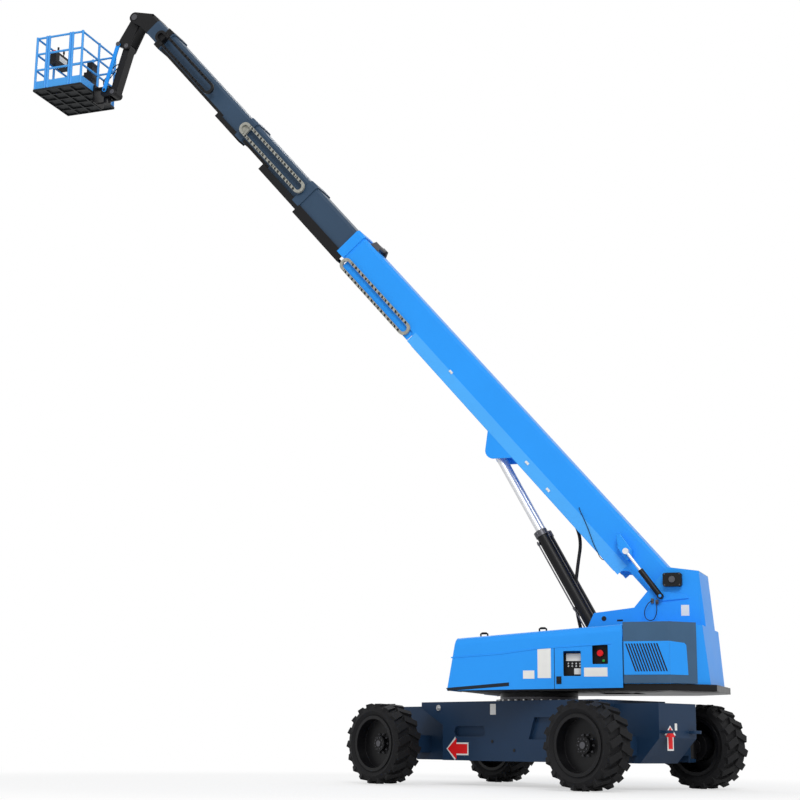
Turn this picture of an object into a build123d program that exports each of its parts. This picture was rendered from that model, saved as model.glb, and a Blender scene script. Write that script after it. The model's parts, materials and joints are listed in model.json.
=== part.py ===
"""Telescopic boom lift, in millimetres, with +X along the boom, +Y to the left and +Z up.

A chassis on four steered wheels carries a slewing turret, which stands turned a little to the left.
The turret carries a luffing boom of five nested sections, and the boom's head carries a levelled jib
with a turning work platform.
"""

import math
import os

from build123d import *

os.makedirs("parts", exist_ok=True)

# Wheels and chassis
CHASSIS_TURN = -27
WHEELBASE = 3900
TRACK = 2500
TYRE_DIA = 1155
TYRE_WIDTH = 460
TYRE_SIDES = 36
LUG_HEIGHT = 42
LUG_LENGTH = 94
LUG_WIDTH = 225
LUG_SKEW = 24
RIM_DIA = 740
RIM_WALL = 18
BEAD_INSET = 35
BEAD_STEP = 12
SIDEWALL_DROP = 70
TREAD_INSET = 24
RIM_FLANGE = 26
RIM_FLANGE_WIDTH = 16
RIM_DISC_OFFSET = 20
RIM_DISC_WALL = 24
RIM_HUB_DIA = 320
RIM_HUB_BACK = -40
RIM_HUB_GAP = 5
RIM_CAP_DIA = 220
RIM_CAP_LENGTH = 95
SPINDLE_DIA = 180
SPINDLE_DEPTH = 60
HUB_DRUM_DIA = 400
KINGPIN_OFFSET = 350
KINGPIN_DIA = 90
KINGPIN_BOSS_DIA = 200
KINGPIN_BOSS_HEIGHT = 330
AXLE_SIZE = 250
YOKE_WALL = 50
YOKE_WIDTH = 230
YOKE_GAP = 20
YOKE_LIP = 10
CHASSIS_WIDTH = 1440
CHASSIS_BOTTOM = 350
CHASSIS_TOP = 1180
CHASSIS_MID_LENGTH = 2500
SHOULDER_LENGTH = 3400
SHOULDER_Z = 850
SHOULDER_EDGE = 90
CHASSIS_LENGTH = 4900
CHASSIS_END_WIDTH = 800
CHASSIS_END_TOP = 1130
CHASSIS_END_RAKE = 330
SIDE_POCKET_DEPTH = 60
SIDE_SLOT_X = 700
SIDE_SLOT_Z = 760
SIDE_SLOT_LENGTH = 620
SIDE_SLOT_HEIGHT = 150
SIDE_PANEL_X = -760
SIDE_PANEL_Z = 800
SIDE_PANEL_LENGTH = 640
SIDE_PANEL_HEIGHT = 300
SIDE_PANEL_ANGLE = 70
TIE_DOWN_BORE = 60
TIE_DOWN_DIA = 140
TIE_DOWN_WALL = 40
TIE_DOWN_SPREAD = 600
TIE_DOWN_Z = 760

# Slew ring and turret
SLEW_DIA = 1120
SLEW_BORE = 840
SLEW_RING_HEIGHT = 60
DECK_BOTTOM = 1300
DECK_WALL = 90
DECK_WIDTH = 2310
DECK_FRONT = 900
TURRET_SPLIT = -1490
TURRET_BEND = -2100
TAIL_X = -2640
TAIL_WIDTH = 1240
TAIL_INSET = 80
HOOD_HINGE_Y = 520
HOOD_HINGE_Z = 2060
HOOD_HINGE_GAP = 40
HOOD_HINGE_PLACES = (-1250, -50)
HOOD_PIN_DIA = 30
HOOD_RING_DIA = 60
HOOD_RING_LENGTH = 110
HOOD_TAB = 70
HOOD_LUG_WALL = 20
HOOD_LUG_HEIGHT = 36
HOOD_WIDTH = 2400
HOOD_BOTTOM = 1305
HOOD_REAR_BOTTOM = 1335
HOOD_FRONT = 1005
HOOD_RAKE = 130
HOOD_NOSE_TOP = 2030
HOOD_REAR_TOP = 2190
HOOD_SKIN = 14
HOOD_EDGE = 110
HOOD_GAP = 10
GRILLE_WALL = 40
GRILLE_BOTTOM = 1395
GRILLE_TOP = 2210
GRILLE_BEND_LENGTH = 420
GRILLE_SLOTS = 12
GRILLE_PITCH = 32
GRILLE_Z = 1790
GRILLE_SLOT_LENGTH = 360
GRILLE_SLOT_WIDTH = 14
GRILLE_SLOT_DEPTH = 22
GRILLE_SLOT_ANGLE = 60
TOWER_GAP = 620
TOWER_WALL = 90
TOWER_TOP_REACH = 130
TOWER_TOP_DROP = 65
TOWER_REAR = -2410
TOWER_WING_FRONT = 300
TOWER_WING_RAKE = 100
TOWER_WING_Z = 2120
TOWER_WING_BACK = -780
TOWER_STEP_X = -918
TOWER_STEP_Z = 2406
TOWER_NECK_X = -1492
TOWER_NECK_Z = 2470
TOWER_TOP_Z = 3025
TOWER_BACK_WALL = 60
ENGINE_PLACE = (-250, -800)
ENGINE_SIZE = (1300, 420, 480)
TANK_PLACE = (100, 780)
TANK_EDGE = 60
TANK_SIZE = (1200, 420, 480)
CONTROL_Y = 1020
CONTROL_SIZE = (420, 160, 420)
ANGLE_SENSOR_SIZE = (260, 190, 90)
ANGLE_SENSOR_EDGE = 30
ANGLE_SENSOR_PLACE = (-2050, 2840)
# Windows in the left hood: middle, width, bottom and top
CONTROL_WINDOWS = ((-785, 245, 1494, 1831), (-1174, 215, 1651, 1907))

# Boom, with stations along it and heights across it read from its foot pin
FOOT_X = -2100
FOOT_Z = 2770
BOOM_ANGLE = 49
BOOM_TOP_V = 65
BOOM_TAIL = 180
FOOT_BLOCK = 400
FOOT_PIN_DIA = 120
COLLAR_WALL = 22
COLLAR_LENGTH = 170
SECTION_WALL = 8
TOP_EDGE = 42
SKIRT_DEPTH = 160
SKIRT_WALL = 24
SKIRT_START = 620
SKIRT_END = 5650
HEAD_REACH = 245
HEAD_DROP = 130
HEAD_WALL = 32
HEAD_EYE_DIA = 190
HEAD_PIN_DIA = 70

# Lift, levelling and jib gear
LIFT_FOOT_X = -1300
LIFT_FOOT_Z = 1400
LIFT_SLOT_BACK = 200
LIFT_SLOT_FRONT = 400
LIFT_EYE_U = 3340
LIFT_EYE_V = -665
LIFT_SPREAD = 300
LIFT_BARREL_DIA = 180
LIFT_BARREL_LENGTH = 2550
LIFT_ROD_DIA = 100
LIFT_ROD_LENGTH = 2300
LIFT_PIN_DIA = 100
LIFT_EYE_DIA = 140
LIFT_LUG_DIA = 250
LIFT_LUG_REACH = 420
LIFT_GLAND = 120
LIFT_PISTON_STEP = 18
LEVEL_Y = 452
LEVEL_FOOT_X = -1876
LEVEL_FOOT_Z = 2618
LEVEL_EYE_U = 825
LEVEL_EYE_V = -205
LEVEL_BARREL_DIA = 80
LEVEL_BARREL_LENGTH = 460
LEVEL_ROD_DIA = 44
LEVEL_ROD_LENGTH = 480
LEVEL_EYE_DIA = 86
LEVEL_PIN_DIA = 44
LEVEL_BOSS_DIA = 100
LEVEL_CLEARANCE = 0.5
JIB_DROP = 468
JIB_FORWARD = 190
JIB_ANGLE = -74
JIB_LENGTH = 860
JIB_DEPTH = 130
JIB_WIDTH = 180
JIB_PIN_DIA = 50
JIB_PLATE_WALL = 35
JIB_CLEARANCE = 6
JIB_LINK_OFFSET = 150
JIB_LINK_DEPTH = 70
JIB_LINK_WALL = 25

# Work platform
PLATFORM_YAW = 0
ROTATOR_OFFSET = 160
ROTATOR_DIA = 130
ROTATOR_HEIGHT = 260
ROTATOR_NECK = 110
ROTATOR_PIN_DIA = 80
BRACKET_WALL = 30
BRACKET_WIDTH = 320
BRACKET_ARM = 80
PLATFORM_STANDOFF = 200
PLATFORM_DEPTH = 960
PLATFORM_WIDTH = 1140
FLOOR_WALL = 40
TOE_HEIGHT = 150
TOE_WALL = 8
RAIL_HEIGHT = 1000
RAIL_DIA = 38
POST_DIA = 44
MID_RAILS = (400, 700)
GATE_WIDTH = 520
GATE_GAP = 5
CONSOLE_SIZE = (160, 460, 200)
CONSOLE_Z = 800
FLOOR_RIB = 30
FLOOR_RIB_DEPTH = 26

# Cable carriers on the boom's left side
CARRIER_DEPTH = 210
CARRIER_BAND = 46
CARRIER_WIDTH = 40
CARRIER_LINKS = 14
CARRIER_NOTCH = 16
CARRIER_GAP = 20
CARRIER_Y = 312
CARRIER_UPPER_Y = 362
CARRIER_BRACKET = 120

# Fits
FIT = 0.5
SEAT = 0.2

SIDES = (("left", 1), ("right", -1))
ENDS = (("front", 1), ("rear", -1))

# Boom sections, outermost first: name, outer width, outer depth, length and station of the tip
SECTIONS = (
    ("boom_base", 560, 440, 7570 + BOOM_TAIL, 7570),
    ("boom_section_2", 528, 408, 7100, 8830),
    ("boom_section_3", 496, 376, 6900, 10500),
    ("boom_section_4", 464, 344, 6700, 13000),
    ("boom_fly", 432, 312, 6500, 13480),
)

# Places worked out from the sizes
BOOM_COS = math.cos(math.radians(BOOM_ANGLE))
BOOM_SIN = math.sin(math.radians(BOOM_ANGLE))
JIB_COS = math.cos(math.radians(JIB_ANGLE))
JIB_SIN = math.sin(math.radians(JIB_ANGLE))
YAW_COS = math.cos(math.radians(PLATFORM_YAW))
YAW_SIN = math.sin(math.radians(PLATFORM_YAW))
BOOM_AXIS_V = BOOM_TOP_V - SECTIONS[0][2] / 2
BOOM_BOTTOM_V = BOOM_TOP_V - SECTIONS[0][2]


def boom_point(u, v):
    """Return X and Z, from the slew axis, of a point at station u and height v on the boom."""
    return FOOT_X + u * BOOM_COS - v * BOOM_SIN, FOOT_Z + u * BOOM_SIN + v * BOOM_COS


HEAD_U = SECTIONS[-1][4] + HEAD_REACH
HEAD_V = BOOM_AXIS_V - HEAD_DROP
HEAD_X, HEAD_Z = boom_point(HEAD_U, HEAD_V)
JIB_X = HEAD_X + JIB_FORWARD
JIB_Z = HEAD_Z - JIB_DROP
JIB_END_X = JIB_X + JIB_LENGTH * JIB_COS
JIB_END_Z = JIB_Z + JIB_LENGTH * JIB_SIN
ROTATOR_X = JIB_END_X + ROTATOR_OFFSET
PLATFORM_REACH = (
    ROTATOR_X + (PLATFORM_STANDOFF + PLATFORM_DEPTH) * YAW_COS + PLATFORM_WIDTH / 2 * YAW_SIN
)
TURN_COS = math.cos(math.radians(CHASSIS_TURN))
TURN_SIN = abs(math.sin(math.radians(CHASSIS_TURN)))
WHEEL_REACH = (WHEELBASE + TYRE_DIA) / 2 * TURN_COS + (TRACK + TYRE_WIDTH) / 2 * TURN_SIN
SLEW_X = -(PLATFORM_REACH - WHEEL_REACH) / 2
DECK_TOP = DECK_BOTTOM + DECK_WALL
AXLE_Z = TYRE_DIA / 2
CARCASS_DIA = TYRE_DIA - 2 * LUG_HEIGHT
KINGPIN_Y = TRACK / 2 - KINGPIN_OFFSET

# A lug's half length round the tyre and across it, and its rise, so that its corners make the diameter
LUG_COS = math.cos(math.radians(LUG_SKEW))
LUG_SIN = math.sin(math.radians(LUG_SKEW))
lug_run = (LUG_LENGTH * LUG_COS + LUG_WIDTH * LUG_SIN) / 2
lug_reach = (LUG_WIDTH * LUG_COS + LUG_LENGTH * LUG_SIN) / 2
lug_rise = math.sqrt((TYRE_DIA / 2) ** 2 - lug_run**2) - CARCASS_DIA / 2

# Working planes: the machine seen from its right and from above, and the boom and jib from the right
SIDE = Plane(origin=(SLEW_X, 0, 0), x_dir=(1, 0, 0), z_dir=(0, -1, 0))
PLAN = Plane(origin=(SLEW_X, 0, 0))
BOOM = Plane(
    origin=(SLEW_X + FOOT_X, 0, FOOT_Z), x_dir=(BOOM_COS, 0, BOOM_SIN), z_dir=(0, -1, 0)
)
JIB = Plane(origin=(SLEW_X + JIB_X, 0, JIB_Z), x_dir=(JIB_COS, 0, JIB_SIN), z_dir=(0, -1, 0))
PLATFORM = Plane(
    origin=(SLEW_X + ROTATOR_X, 0, JIB_END_Z), x_dir=(YAW_COS, YAW_SIN, 0), z_dir=(0, 0, 1)
)


def boom_station(u):
    """Return the plane across the boom at station u, with X to the left and Y up the boom's depth."""
    x, z = boom_point(u, 0)
    return Plane(
        origin=(SLEW_X + x, 0, z), x_dir=(0, 1, 0), z_dir=(BOOM_COS, 0, BOOM_SIN)
    )


def rod(plane, x, y, dia, near, far, mode=Mode.ADD):
    """Add or cut a round bar along a plane's normal, at x and y on it, from near to far."""
    with BuildSketch(plane.offset(near)) as outline:
        with Locations((x, y)):
            Circle(dia / 2)
    extrude(outline.sketch, amount=far - near, mode=mode)


def bar(start, end, dia):
    """Add a round tube's outside between two points of the platform."""
    ends = [PLATFORM.from_local_coords(Vector(*p)) for p in (start, end)]
    with BuildSketch(Plane(origin=ends[0], z_dir=ends[1] - ends[0])) as outline:
        Circle(dia / 2)
    extrude(outline.sketch, amount=(ends[1] - ends[0]).length)


def hinge_plane(hand):
    """Return the plane across a hood's hinge line, with its normal along the machine."""
    return Plane(
        origin=(SLEW_X, hand * HOOD_HINGE_Y, HOOD_HINGE_Z), x_dir=(0, 1, 0), z_dir=(1, 0, 0)
    )


def profile(width, depth, mode=Mode.ADD):
    """Draw or cut a boom section's outline: a box with its two upper edges cut off."""
    side = width / 2
    top = BOOM_AXIS_V + depth / 2
    bottom = BOOM_AXIS_V - depth / 2
    Polygon(
        (-side, bottom),
        (side, bottom),
        (side, top - TOP_EDGE),
        (side - TOP_EDGE, top),
        (TOP_EDGE - side, top),
        (-side, top - TOP_EDGE),
        align=None,
        mode=mode,
    )


def save(piece, name, turn=0):
    """Turn a finished piece about the slew axis, name it and write it to its own file."""
    part = Pos(SLEW_X) * Rot(0, 0, turn) * Pos(-SLEW_X) * piece.part
    part.label = name
    export_step(part, f"parts/{name}.step")


# Chassis frame: a deep box between the wheels, slanted shoulders and narrow raked ends
with BuildPart() as chassis_frame:
    shoulder = SHOULDER_LENGTH / 2
    middle = CHASSIS_MID_LENGTH / 2
    with BuildSketch(SIDE):
        with BuildLine():
            Polyline(
                (-middle, CHASSIS_BOTTOM),
                (middle, CHASSIS_BOTTOM),
                (middle, SHOULDER_Z),
                (shoulder, CHASSIS_TOP - SHOULDER_EDGE),
                (shoulder, CHASSIS_TOP),
                (-shoulder, CHASSIS_TOP),
                (-shoulder, CHASSIS_TOP - SHOULDER_EDGE),
                (-middle, SHOULDER_Z),
                close=True,
            )
        make_face()
    extrude(amount=CHASSIS_WIDTH / 2, both=True)
    with BuildSketch(SIDE):
        with BuildLine():
            end = CHASSIS_LENGTH / 2
            Polyline(
                (end - CHASSIS_END_RAKE, CHASSIS_BOTTOM),
                (end, CHASSIS_BOTTOM + CHASSIS_END_RAKE),
                (end, CHASSIS_END_TOP),
                (-end, CHASSIS_END_TOP),
                (-end, CHASSIS_BOTTOM + CHASSIS_END_RAKE),
                (-end + CHASSIS_END_RAKE, CHASSIS_BOTTOM),
                close=True,
            )
        make_face()
    extrude(amount=CHASSIS_END_WIDTH / 2, both=True)
    with Locations(*[(SLEW_X + sign * WHEELBASE / 2, 0, AXLE_Z) for _, sign in ENDS]):
        Box(AXLE_SIZE, CHASSIS_WIDTH, AXLE_SIZE, mode=Mode.SUBTRACT)
    # Service pockets in the two side plates
    for _, sign in SIDES:
        face = SIDE.offset(-sign * CHASSIS_WIDTH / 2)
        with BuildSketch(face):
            with Locations((SIDE_SLOT_X, SIDE_SLOT_Z)):
                SlotOverall(SIDE_SLOT_LENGTH, SIDE_SLOT_HEIGHT)
            with Locations((SIDE_PANEL_X, SIDE_PANEL_Z)):
                Trapezoid(SIDE_PANEL_LENGTH, SIDE_PANEL_HEIGHT, SIDE_PANEL_ANGLE)
        extrude(amount=sign * SIDE_POCKET_DEPTH, mode=Mode.SUBTRACT)
    # Tie-down lugs on the end plates
    for _, sign in ENDS:
        for _, hand in SIDES:
            y = hand * TIE_DOWN_SPREAD / 2
            with BuildSketch(PLAN.offset(TIE_DOWN_Z - TIE_DOWN_WALL / 2)):
                eye = (sign * (CHASSIS_LENGTH / 2 + TIE_DOWN_DIA / 2), y)
                with Locations(eye):
                    Circle(TIE_DOWN_DIA / 2)
                with Locations((sign * (CHASSIS_LENGTH / 2 + TIE_DOWN_DIA / 4), y)):
                    Rectangle(TIE_DOWN_DIA / 2, TIE_DOWN_DIA)
                with Locations(eye):
                    Circle(TIE_DOWN_BORE / 2, mode=Mode.SUBTRACT)
            extrude(amount=TIE_DOWN_WALL)
save(chassis_frame, "chassis_frame", CHASSIS_TURN)

with BuildPart() as slew_ring:
    with BuildSketch(PLAN.offset(CHASSIS_TOP)):
        Circle(SLEW_DIA / 2)
        Circle(SLEW_BORE / 2, mode=Mode.SUBTRACT)
    extrude(amount=SLEW_RING_HEIGHT)
save(slew_ring, "slew_ring", CHASSIS_TURN)

# Axles: a square beam through the chassis ends, with a yoke for each kingpin
yoke_inner = KINGPIN_Y - KINGPIN_BOSS_DIA / 2 - YOKE_GAP
yoke_end = KINGPIN_BOSS_DIA / 2 - YOKE_LIP
yoke_height = KINGPIN_BOSS_HEIGHT + 2 * YOKE_WALL
for end_name, sign in ENDS:
    with BuildPart(Plane((SLEW_X + sign * WHEELBASE / 2, 0, AXLE_Z))) as axle:
        Box(AXLE_SIZE, 2 * (yoke_inner - YOKE_WALL), AXLE_SIZE)
        for _, hand in SIDES:
            with Locations((0, hand * (yoke_inner - YOKE_WALL / 2), 0)):
                Box(YOKE_WIDTH, YOKE_WALL, yoke_height)
            for level in (-1, 1):
                height = level * (KINGPIN_BOSS_HEIGHT + YOKE_WALL) / 2
                with Locations((0, hand * (yoke_inner + KINGPIN_Y) / 2, height)):
                    Box(2 * yoke_end, KINGPIN_Y - yoke_inner, YOKE_WALL)
                with Locations((0, hand * KINGPIN_Y, height)):
                    Cylinder(yoke_end, YOKE_WALL)
            with Locations((0, hand * KINGPIN_Y, 0)):
                Cylinder(KINGPIN_DIA / 2 + FIT, yoke_height, mode=Mode.SUBTRACT)
    save(axle, f"{end_name}_axle", CHASSIS_TURN)

# Steering knuckles, rims and lugged tyres, one set at each corner
for end_name, sign in ENDS:
    for side_name, hand in SIDES:
        corner = f"{end_name}_{side_name}"
        wheel = Plane(
            origin=(SLEW_X + sign * WHEELBASE / 2, hand * TRACK / 2, AXLE_Z),
            x_dir=(1, 0, 0),
            z_dir=(0, hand, 0),
        )
        with BuildPart() as knuckle:
            kingpin = Plane((SLEW_X + sign * WHEELBASE / 2, hand * KINGPIN_Y, AXLE_Z))
            boss = KINGPIN_BOSS_HEIGHT / 2 - FIT
            rod(kingpin, 0, 0, KINGPIN_BOSS_DIA, -boss, boss)
            rod(kingpin, 0, 0, KINGPIN_DIA, -yoke_height / 2, yoke_height / 2)
            drum_back = KINGPIN_BOSS_DIA / 2 - KINGPIN_OFFSET + YOKE_GAP
            rod(wheel, 0, 0, KINGPIN_BOSS_DIA, -KINGPIN_OFFSET, drum_back)
            rod(wheel, 0, 0, HUB_DRUM_DIA, drum_back, RIM_HUB_BACK - RIM_HUB_GAP)
            rod(wheel, 0, 0, SPINDLE_DIA, RIM_HUB_BACK - RIM_HUB_GAP, RIM_HUB_BACK + SPINDLE_DEPTH - FIT)
        save(knuckle, f"knuckle_{corner}", CHASSIS_TURN)

        with BuildPart() as rim:
            half = TYRE_WIDTH / 2 - BEAD_INSET
            flange = half + RIM_FLANGE_WIDTH
            outer = RIM_DIA / 2
            disc = RIM_DISC_OFFSET
            with BuildSketch(Plane(wheel.origin)):
                # Half section: radius along X, distance from the wheel's middle along Y
                with BuildLine():
                    Polyline(
                        (outer - RIM_WALL, -hand * flange),
                        (outer + RIM_FLANGE, -hand * flange),
                        (outer + RIM_FLANGE, -hand * half),
                        (outer, -hand * half),
                        (outer, hand * half),
                        (outer + RIM_FLANGE, hand * half),
                        (outer + RIM_FLANGE, hand * flange),
                        (outer - RIM_WALL, hand * flange),
                        (outer - RIM_WALL, hand * (disc + RIM_DISC_WALL)),
                        (RIM_HUB_DIA / 2, hand * RIM_DISC_WALL),
                        (RIM_CAP_DIA / 2, hand * RIM_DISC_WALL),
                        (RIM_CAP_DIA / 2, hand * RIM_CAP_LENGTH),
                        (0, hand * RIM_CAP_LENGTH),
                        (0, hand * (RIM_HUB_BACK + SPINDLE_DEPTH)),
                        (SPINDLE_DIA / 2 + FIT, hand * (RIM_HUB_BACK + SPINDLE_DEPTH)),
                        (SPINDLE_DIA / 2 + FIT, hand * RIM_HUB_BACK),
                        (RIM_HUB_DIA / 2, hand * RIM_HUB_BACK),
                        (outer - RIM_WALL, hand * disc),
                        close=True,
                    )
                make_face()
            revolve(axis=Axis(wheel.origin, (0, 1, 0)))
        save(rim, f"rim_{corner}", CHASSIS_TURN)

        with BuildPart(wheel) as tyre:
            bead = TYRE_WIDTH / 2 - BEAD_INSET - SEAT
            # Carcass rings: distance from the middle and radius
            rings = (
                (-bead, RIM_DIA / 2 + RIM_FLANGE + BEAD_STEP),
                (-TYRE_WIDTH / 2, CARCASS_DIA / 2 - SIDEWALL_DROP),
                (-TYRE_WIDTH / 2 + TREAD_INSET, CARCASS_DIA / 2),
                (TYRE_WIDTH / 2 - TREAD_INSET, CARCASS_DIA / 2),
                (TYRE_WIDTH / 2, CARCASS_DIA / 2 - SIDEWALL_DROP),
                (bead, RIM_DIA / 2 + RIM_FLANGE + BEAD_STEP),
            )
            for place, radius in rings:
                with BuildSketch(wheel.offset(place)):
                    RegularPolygon(radius, TYRE_SIDES)
            loft(ruled=True)
            for row, first in ((1, 0.5), (-1, 1.5)):
                with Locations((0, 0, row * (TYRE_WIDTH / 2 - lug_reach))):
                    with PolarLocations(CARCASS_DIA / 2, TYRE_SIDES // 2, first * 360 / TYRE_SIDES):
                        Box(
                            2 * lug_rise,
                            LUG_LENGTH,
                            LUG_WIDTH,
                            rotation=(row * hand * LUG_SKEW, 0, 0),
                        )
            rod(wheel, 0, 0, RIM_DIA + 2 * SEAT, -TYRE_WIDTH, TYRE_WIDTH, mode=Mode.SUBTRACT)
        save(tyre, f"tyre_{corner}", CHASSIS_TURN)


# Turret deck: the plate under the hoods, with the upper half of the slew ring
with BuildPart() as turret_deck:
    with BuildSketch(PLAN.offset(DECK_BOTTOM)):
        with BuildLine():
            Polyline(
                (DECK_FRONT, -DECK_WIDTH / 2),
                (DECK_FRONT, DECK_WIDTH / 2),
                (TURRET_BEND, DECK_WIDTH / 2),
                (TAIL_X, TAIL_WIDTH / 2),
                (TAIL_X, -TAIL_WIDTH / 2),
                (TURRET_BEND, -DECK_WIDTH / 2),
                close=True,
            )
        make_face()
        # Slot that the lift cylinders drop into when the boom is low
        with Locations((LIFT_FOOT_X + (LIFT_SLOT_FRONT - LIFT_SLOT_BACK) / 2, 0)):
            Rectangle(LIFT_SLOT_FRONT + LIFT_SLOT_BACK, TOWER_GAP, mode=Mode.SUBTRACT)
    extrude(amount=DECK_WALL)
    with BuildSketch(PLAN.offset(CHASSIS_TOP + SLEW_RING_HEIGHT + FIT)):
        Circle(SLEW_DIA / 2)
        Circle(SLEW_BORE / 2, mode=Mode.SUBTRACT)
    extrude(amount=DECK_BOTTOM - CHASSIS_TOP - SLEW_RING_HEIGHT - FIT)
save(turret_deck, "turret_deck")

# Tower: two side plates, a back plate and the pins for the boom's foot and the lift cylinders
tower_outer = TOWER_GAP / 2 + TOWER_WALL
with BuildPart() as tower:
    for _, hand in SIDES:
        with BuildSketch(SIDE.offset(-hand * TOWER_GAP / 2)):
            with BuildLine():
                Polyline(
                    (TOWER_WING_FRONT, DECK_TOP),
                    (TOWER_WING_FRONT - TOWER_WING_RAKE, TOWER_WING_Z),
                    (TOWER_WING_BACK, TOWER_WING_Z),
                    (TOWER_STEP_X, TOWER_STEP_Z),
                    (TOWER_NECK_X, TOWER_NECK_Z),
                    (FOOT_X + TOWER_TOP_REACH, TOWER_TOP_Z),
                    (TOWER_REAR, TOWER_TOP_Z - TOWER_TOP_DROP),
                    (TOWER_REAR, DECK_TOP),
                    close=True,
                )
            make_face()
        extrude(amount=-hand * TOWER_WALL)
    with BuildSketch(PLAN.offset(DECK_TOP)):
        with Locations((TOWER_REAR + TOWER_BACK_WALL / 2, 0)):
            Rectangle(TOWER_BACK_WALL, TOWER_GAP)
    extrude(amount=TOWER_TOP_Z - TOWER_TOP_DROP - DECK_TOP)
    rod(SIDE, FOOT_X, FOOT_Z, FOOT_PIN_DIA, -tower_outer, tower_outer)
    rod(SIDE, LIFT_FOOT_X, LIFT_FOOT_Z, LIFT_PIN_DIA, -TOWER_GAP / 2, TOWER_GAP / 2)
    # Levelling cylinder's foot pin
    rod(SIDE, LEVEL_FOOT_X, LEVEL_FOOT_Z, LEVEL_PIN_DIA, -LEVEL_Y - LEVEL_BARREL_DIA / 2, -tower_outer)
    # Hinge lugs and pins for the hoods
    for _, hand in SIDES:
        for place in HOOD_HINGE_PLACES:
            reach = HOOD_RING_LENGTH / 2 + FIT
            pin = reach + HOOD_LUG_WALL
            rod(hinge_plane(hand), 0, 0, HOOD_PIN_DIA, place - pin, place + pin)
            for end in (-1, 1):
                lug_x = SLEW_X + place + end * (reach + HOOD_LUG_WALL / 2)
                lug_y = hand * (tower_outer + HOOD_HINGE_Y + HOOD_PIN_DIA / 2) / 2
                with Locations((lug_x, lug_y, HOOD_HINGE_Z)):
                    Box(HOOD_LUG_WALL, HOOD_HINGE_Y + HOOD_PIN_DIA / 2 - tower_outer, HOOD_LUG_HEIGHT)
save(tower, "tower")

with BuildPart() as angle_sensor:
    with BuildSketch(SIDE.offset(-tower_outer)):
        with Locations(ANGLE_SENSOR_PLACE):
            RectangleRounded(ANGLE_SENSOR_SIZE[0], ANGLE_SENSOR_SIZE[1], ANGLE_SENSOR_EDGE)
    extrude(amount=-ANGLE_SENSOR_SIZE[2])
save(angle_sensor, "angle_sensor")

# Counterweight: a block each side of the tower, joined behind it by a tall back that leans forward
with BuildPart() as counterweight:
    with BuildSketch(PLAN.offset(DECK_TOP)):
        with BuildLine():
            Polyline(
                (TURRET_SPLIT, -DECK_WIDTH / 2),
                (TURRET_SPLIT, DECK_WIDTH / 2),
                (TURRET_BEND, DECK_WIDTH / 2),
                (TAIL_X + TAIL_INSET, TAIL_WIDTH / 2),
                (TAIL_X + TAIL_INSET, -TAIL_WIDTH / 2),
                (TURRET_BEND, -DECK_WIDTH / 2),
                close=True,
            )
        make_face()
        with Locations(((TURRET_SPLIT + TOWER_REAR) / 2, 0)):
            Rectangle(TURRET_SPLIT - TOWER_REAR, 2 * tower_outer, mode=Mode.SUBTRACT)
    extrude(amount=HOOD_REAR_TOP - DECK_TOP)
    tail = TAIL_X + TAIL_INSET
    tower_rear_top = TOWER_TOP_Z - TOWER_TOP_DROP
    with BuildSketch(SIDE):
        with Locations(((tail + TOWER_REAR) / 2, (DECK_TOP + tower_rear_top) / 2)):
            Rectangle(TOWER_REAR - tail, tower_rear_top - DECK_TOP)
    extrude(amount=tower_outer, both=True)
    with BuildSketch(SIDE):
        Polygon((tail, DECK_TOP), (TOWER_REAR, tower_rear_top), (tail, tower_rear_top), align=None)
    extrude(amount=DECK_WIDTH, both=True, mode=Mode.SUBTRACT)
save(counterweight, "counterweight")

# Grilles: louvred corner panels round the counterweight's sides
turn = math.atan2((DECK_WIDTH - TAIL_WIDTH) / 2, TURRET_BEND - TAIL_X)
for side_name, hand in SIDES:
    inner = DECK_WIDTH / 2 + SEAT
    outer = inner + GRILLE_WALL
    bent_x = TURRET_BEND - GRILLE_BEND_LENGTH * math.cos(turn)
    bent_y = inner - GRILLE_BEND_LENGTH * math.sin(turn)
    with BuildPart() as grille:
        with BuildSketch(PLAN.offset(GRILLE_BOTTOM)):
            with BuildLine():
                Polyline(
                    (TURRET_SPLIT, hand * inner),
                    (TURRET_SPLIT, hand * outer),
                    (TURRET_BEND - GRILLE_WALL * math.tan(turn / 2), hand * outer),
                    (
                        bent_x - GRILLE_WALL * math.sin(turn),
                        hand * (bent_y + GRILLE_WALL * math.cos(turn)),
                    ),
                    (bent_x, hand * bent_y),
                    (TURRET_BEND, hand * inner),
                    close=True,
                )
            make_face()
        extrude(amount=GRILLE_TOP - GRILLE_BOTTOM)
        with BuildSketch(SIDE.offset(-hand * outer)):
            with Locations(((TURRET_SPLIT + TURRET_BEND) / 2, GRILLE_Z)):
                with GridLocations(GRILLE_PITCH, 0, GRILLE_SLOTS, 1):
                    SlotOverall(GRILLE_SLOT_LENGTH, GRILLE_SLOT_WIDTH, rotation=GRILLE_SLOT_ANGLE)
        extrude(amount=hand * GRILLE_SLOT_DEPTH, mode=Mode.SUBTRACT)
    save(grille, f"grille_{side_name}")

# Engine on the right, tanks on the left, under the hoods
with BuildPart() as engine_block:
    with Locations((SLEW_X + ENGINE_PLACE[0], ENGINE_PLACE[1], DECK_TOP)):
        Box(*ENGINE_SIZE, align=(Align.CENTER, Align.CENTER, Align.MIN))
save(engine_block, "engine_block")

with BuildPart() as fluid_tanks:
    with Locations((SLEW_X + TANK_PLACE[0], TANK_PLACE[1], DECK_TOP)):
        Box(*TANK_SIZE, align=(Align.CENTER, Align.CENTER, Align.MIN))
    fillet(fluid_tanks.edges().filter_by(Axis.X), TANK_EDGE)
save(fluid_tanks, "fluid_tanks")

with BuildPart() as ground_controls:
    with Locations((SLEW_X + CONTROL_WINDOWS[0][0], CONTROL_Y, DECK_TOP)):
        Box(*CONTROL_SIZE, align=(Align.CENTER, Align.CENTER, Align.MIN))
save(ground_controls, "ground_controls")

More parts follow.
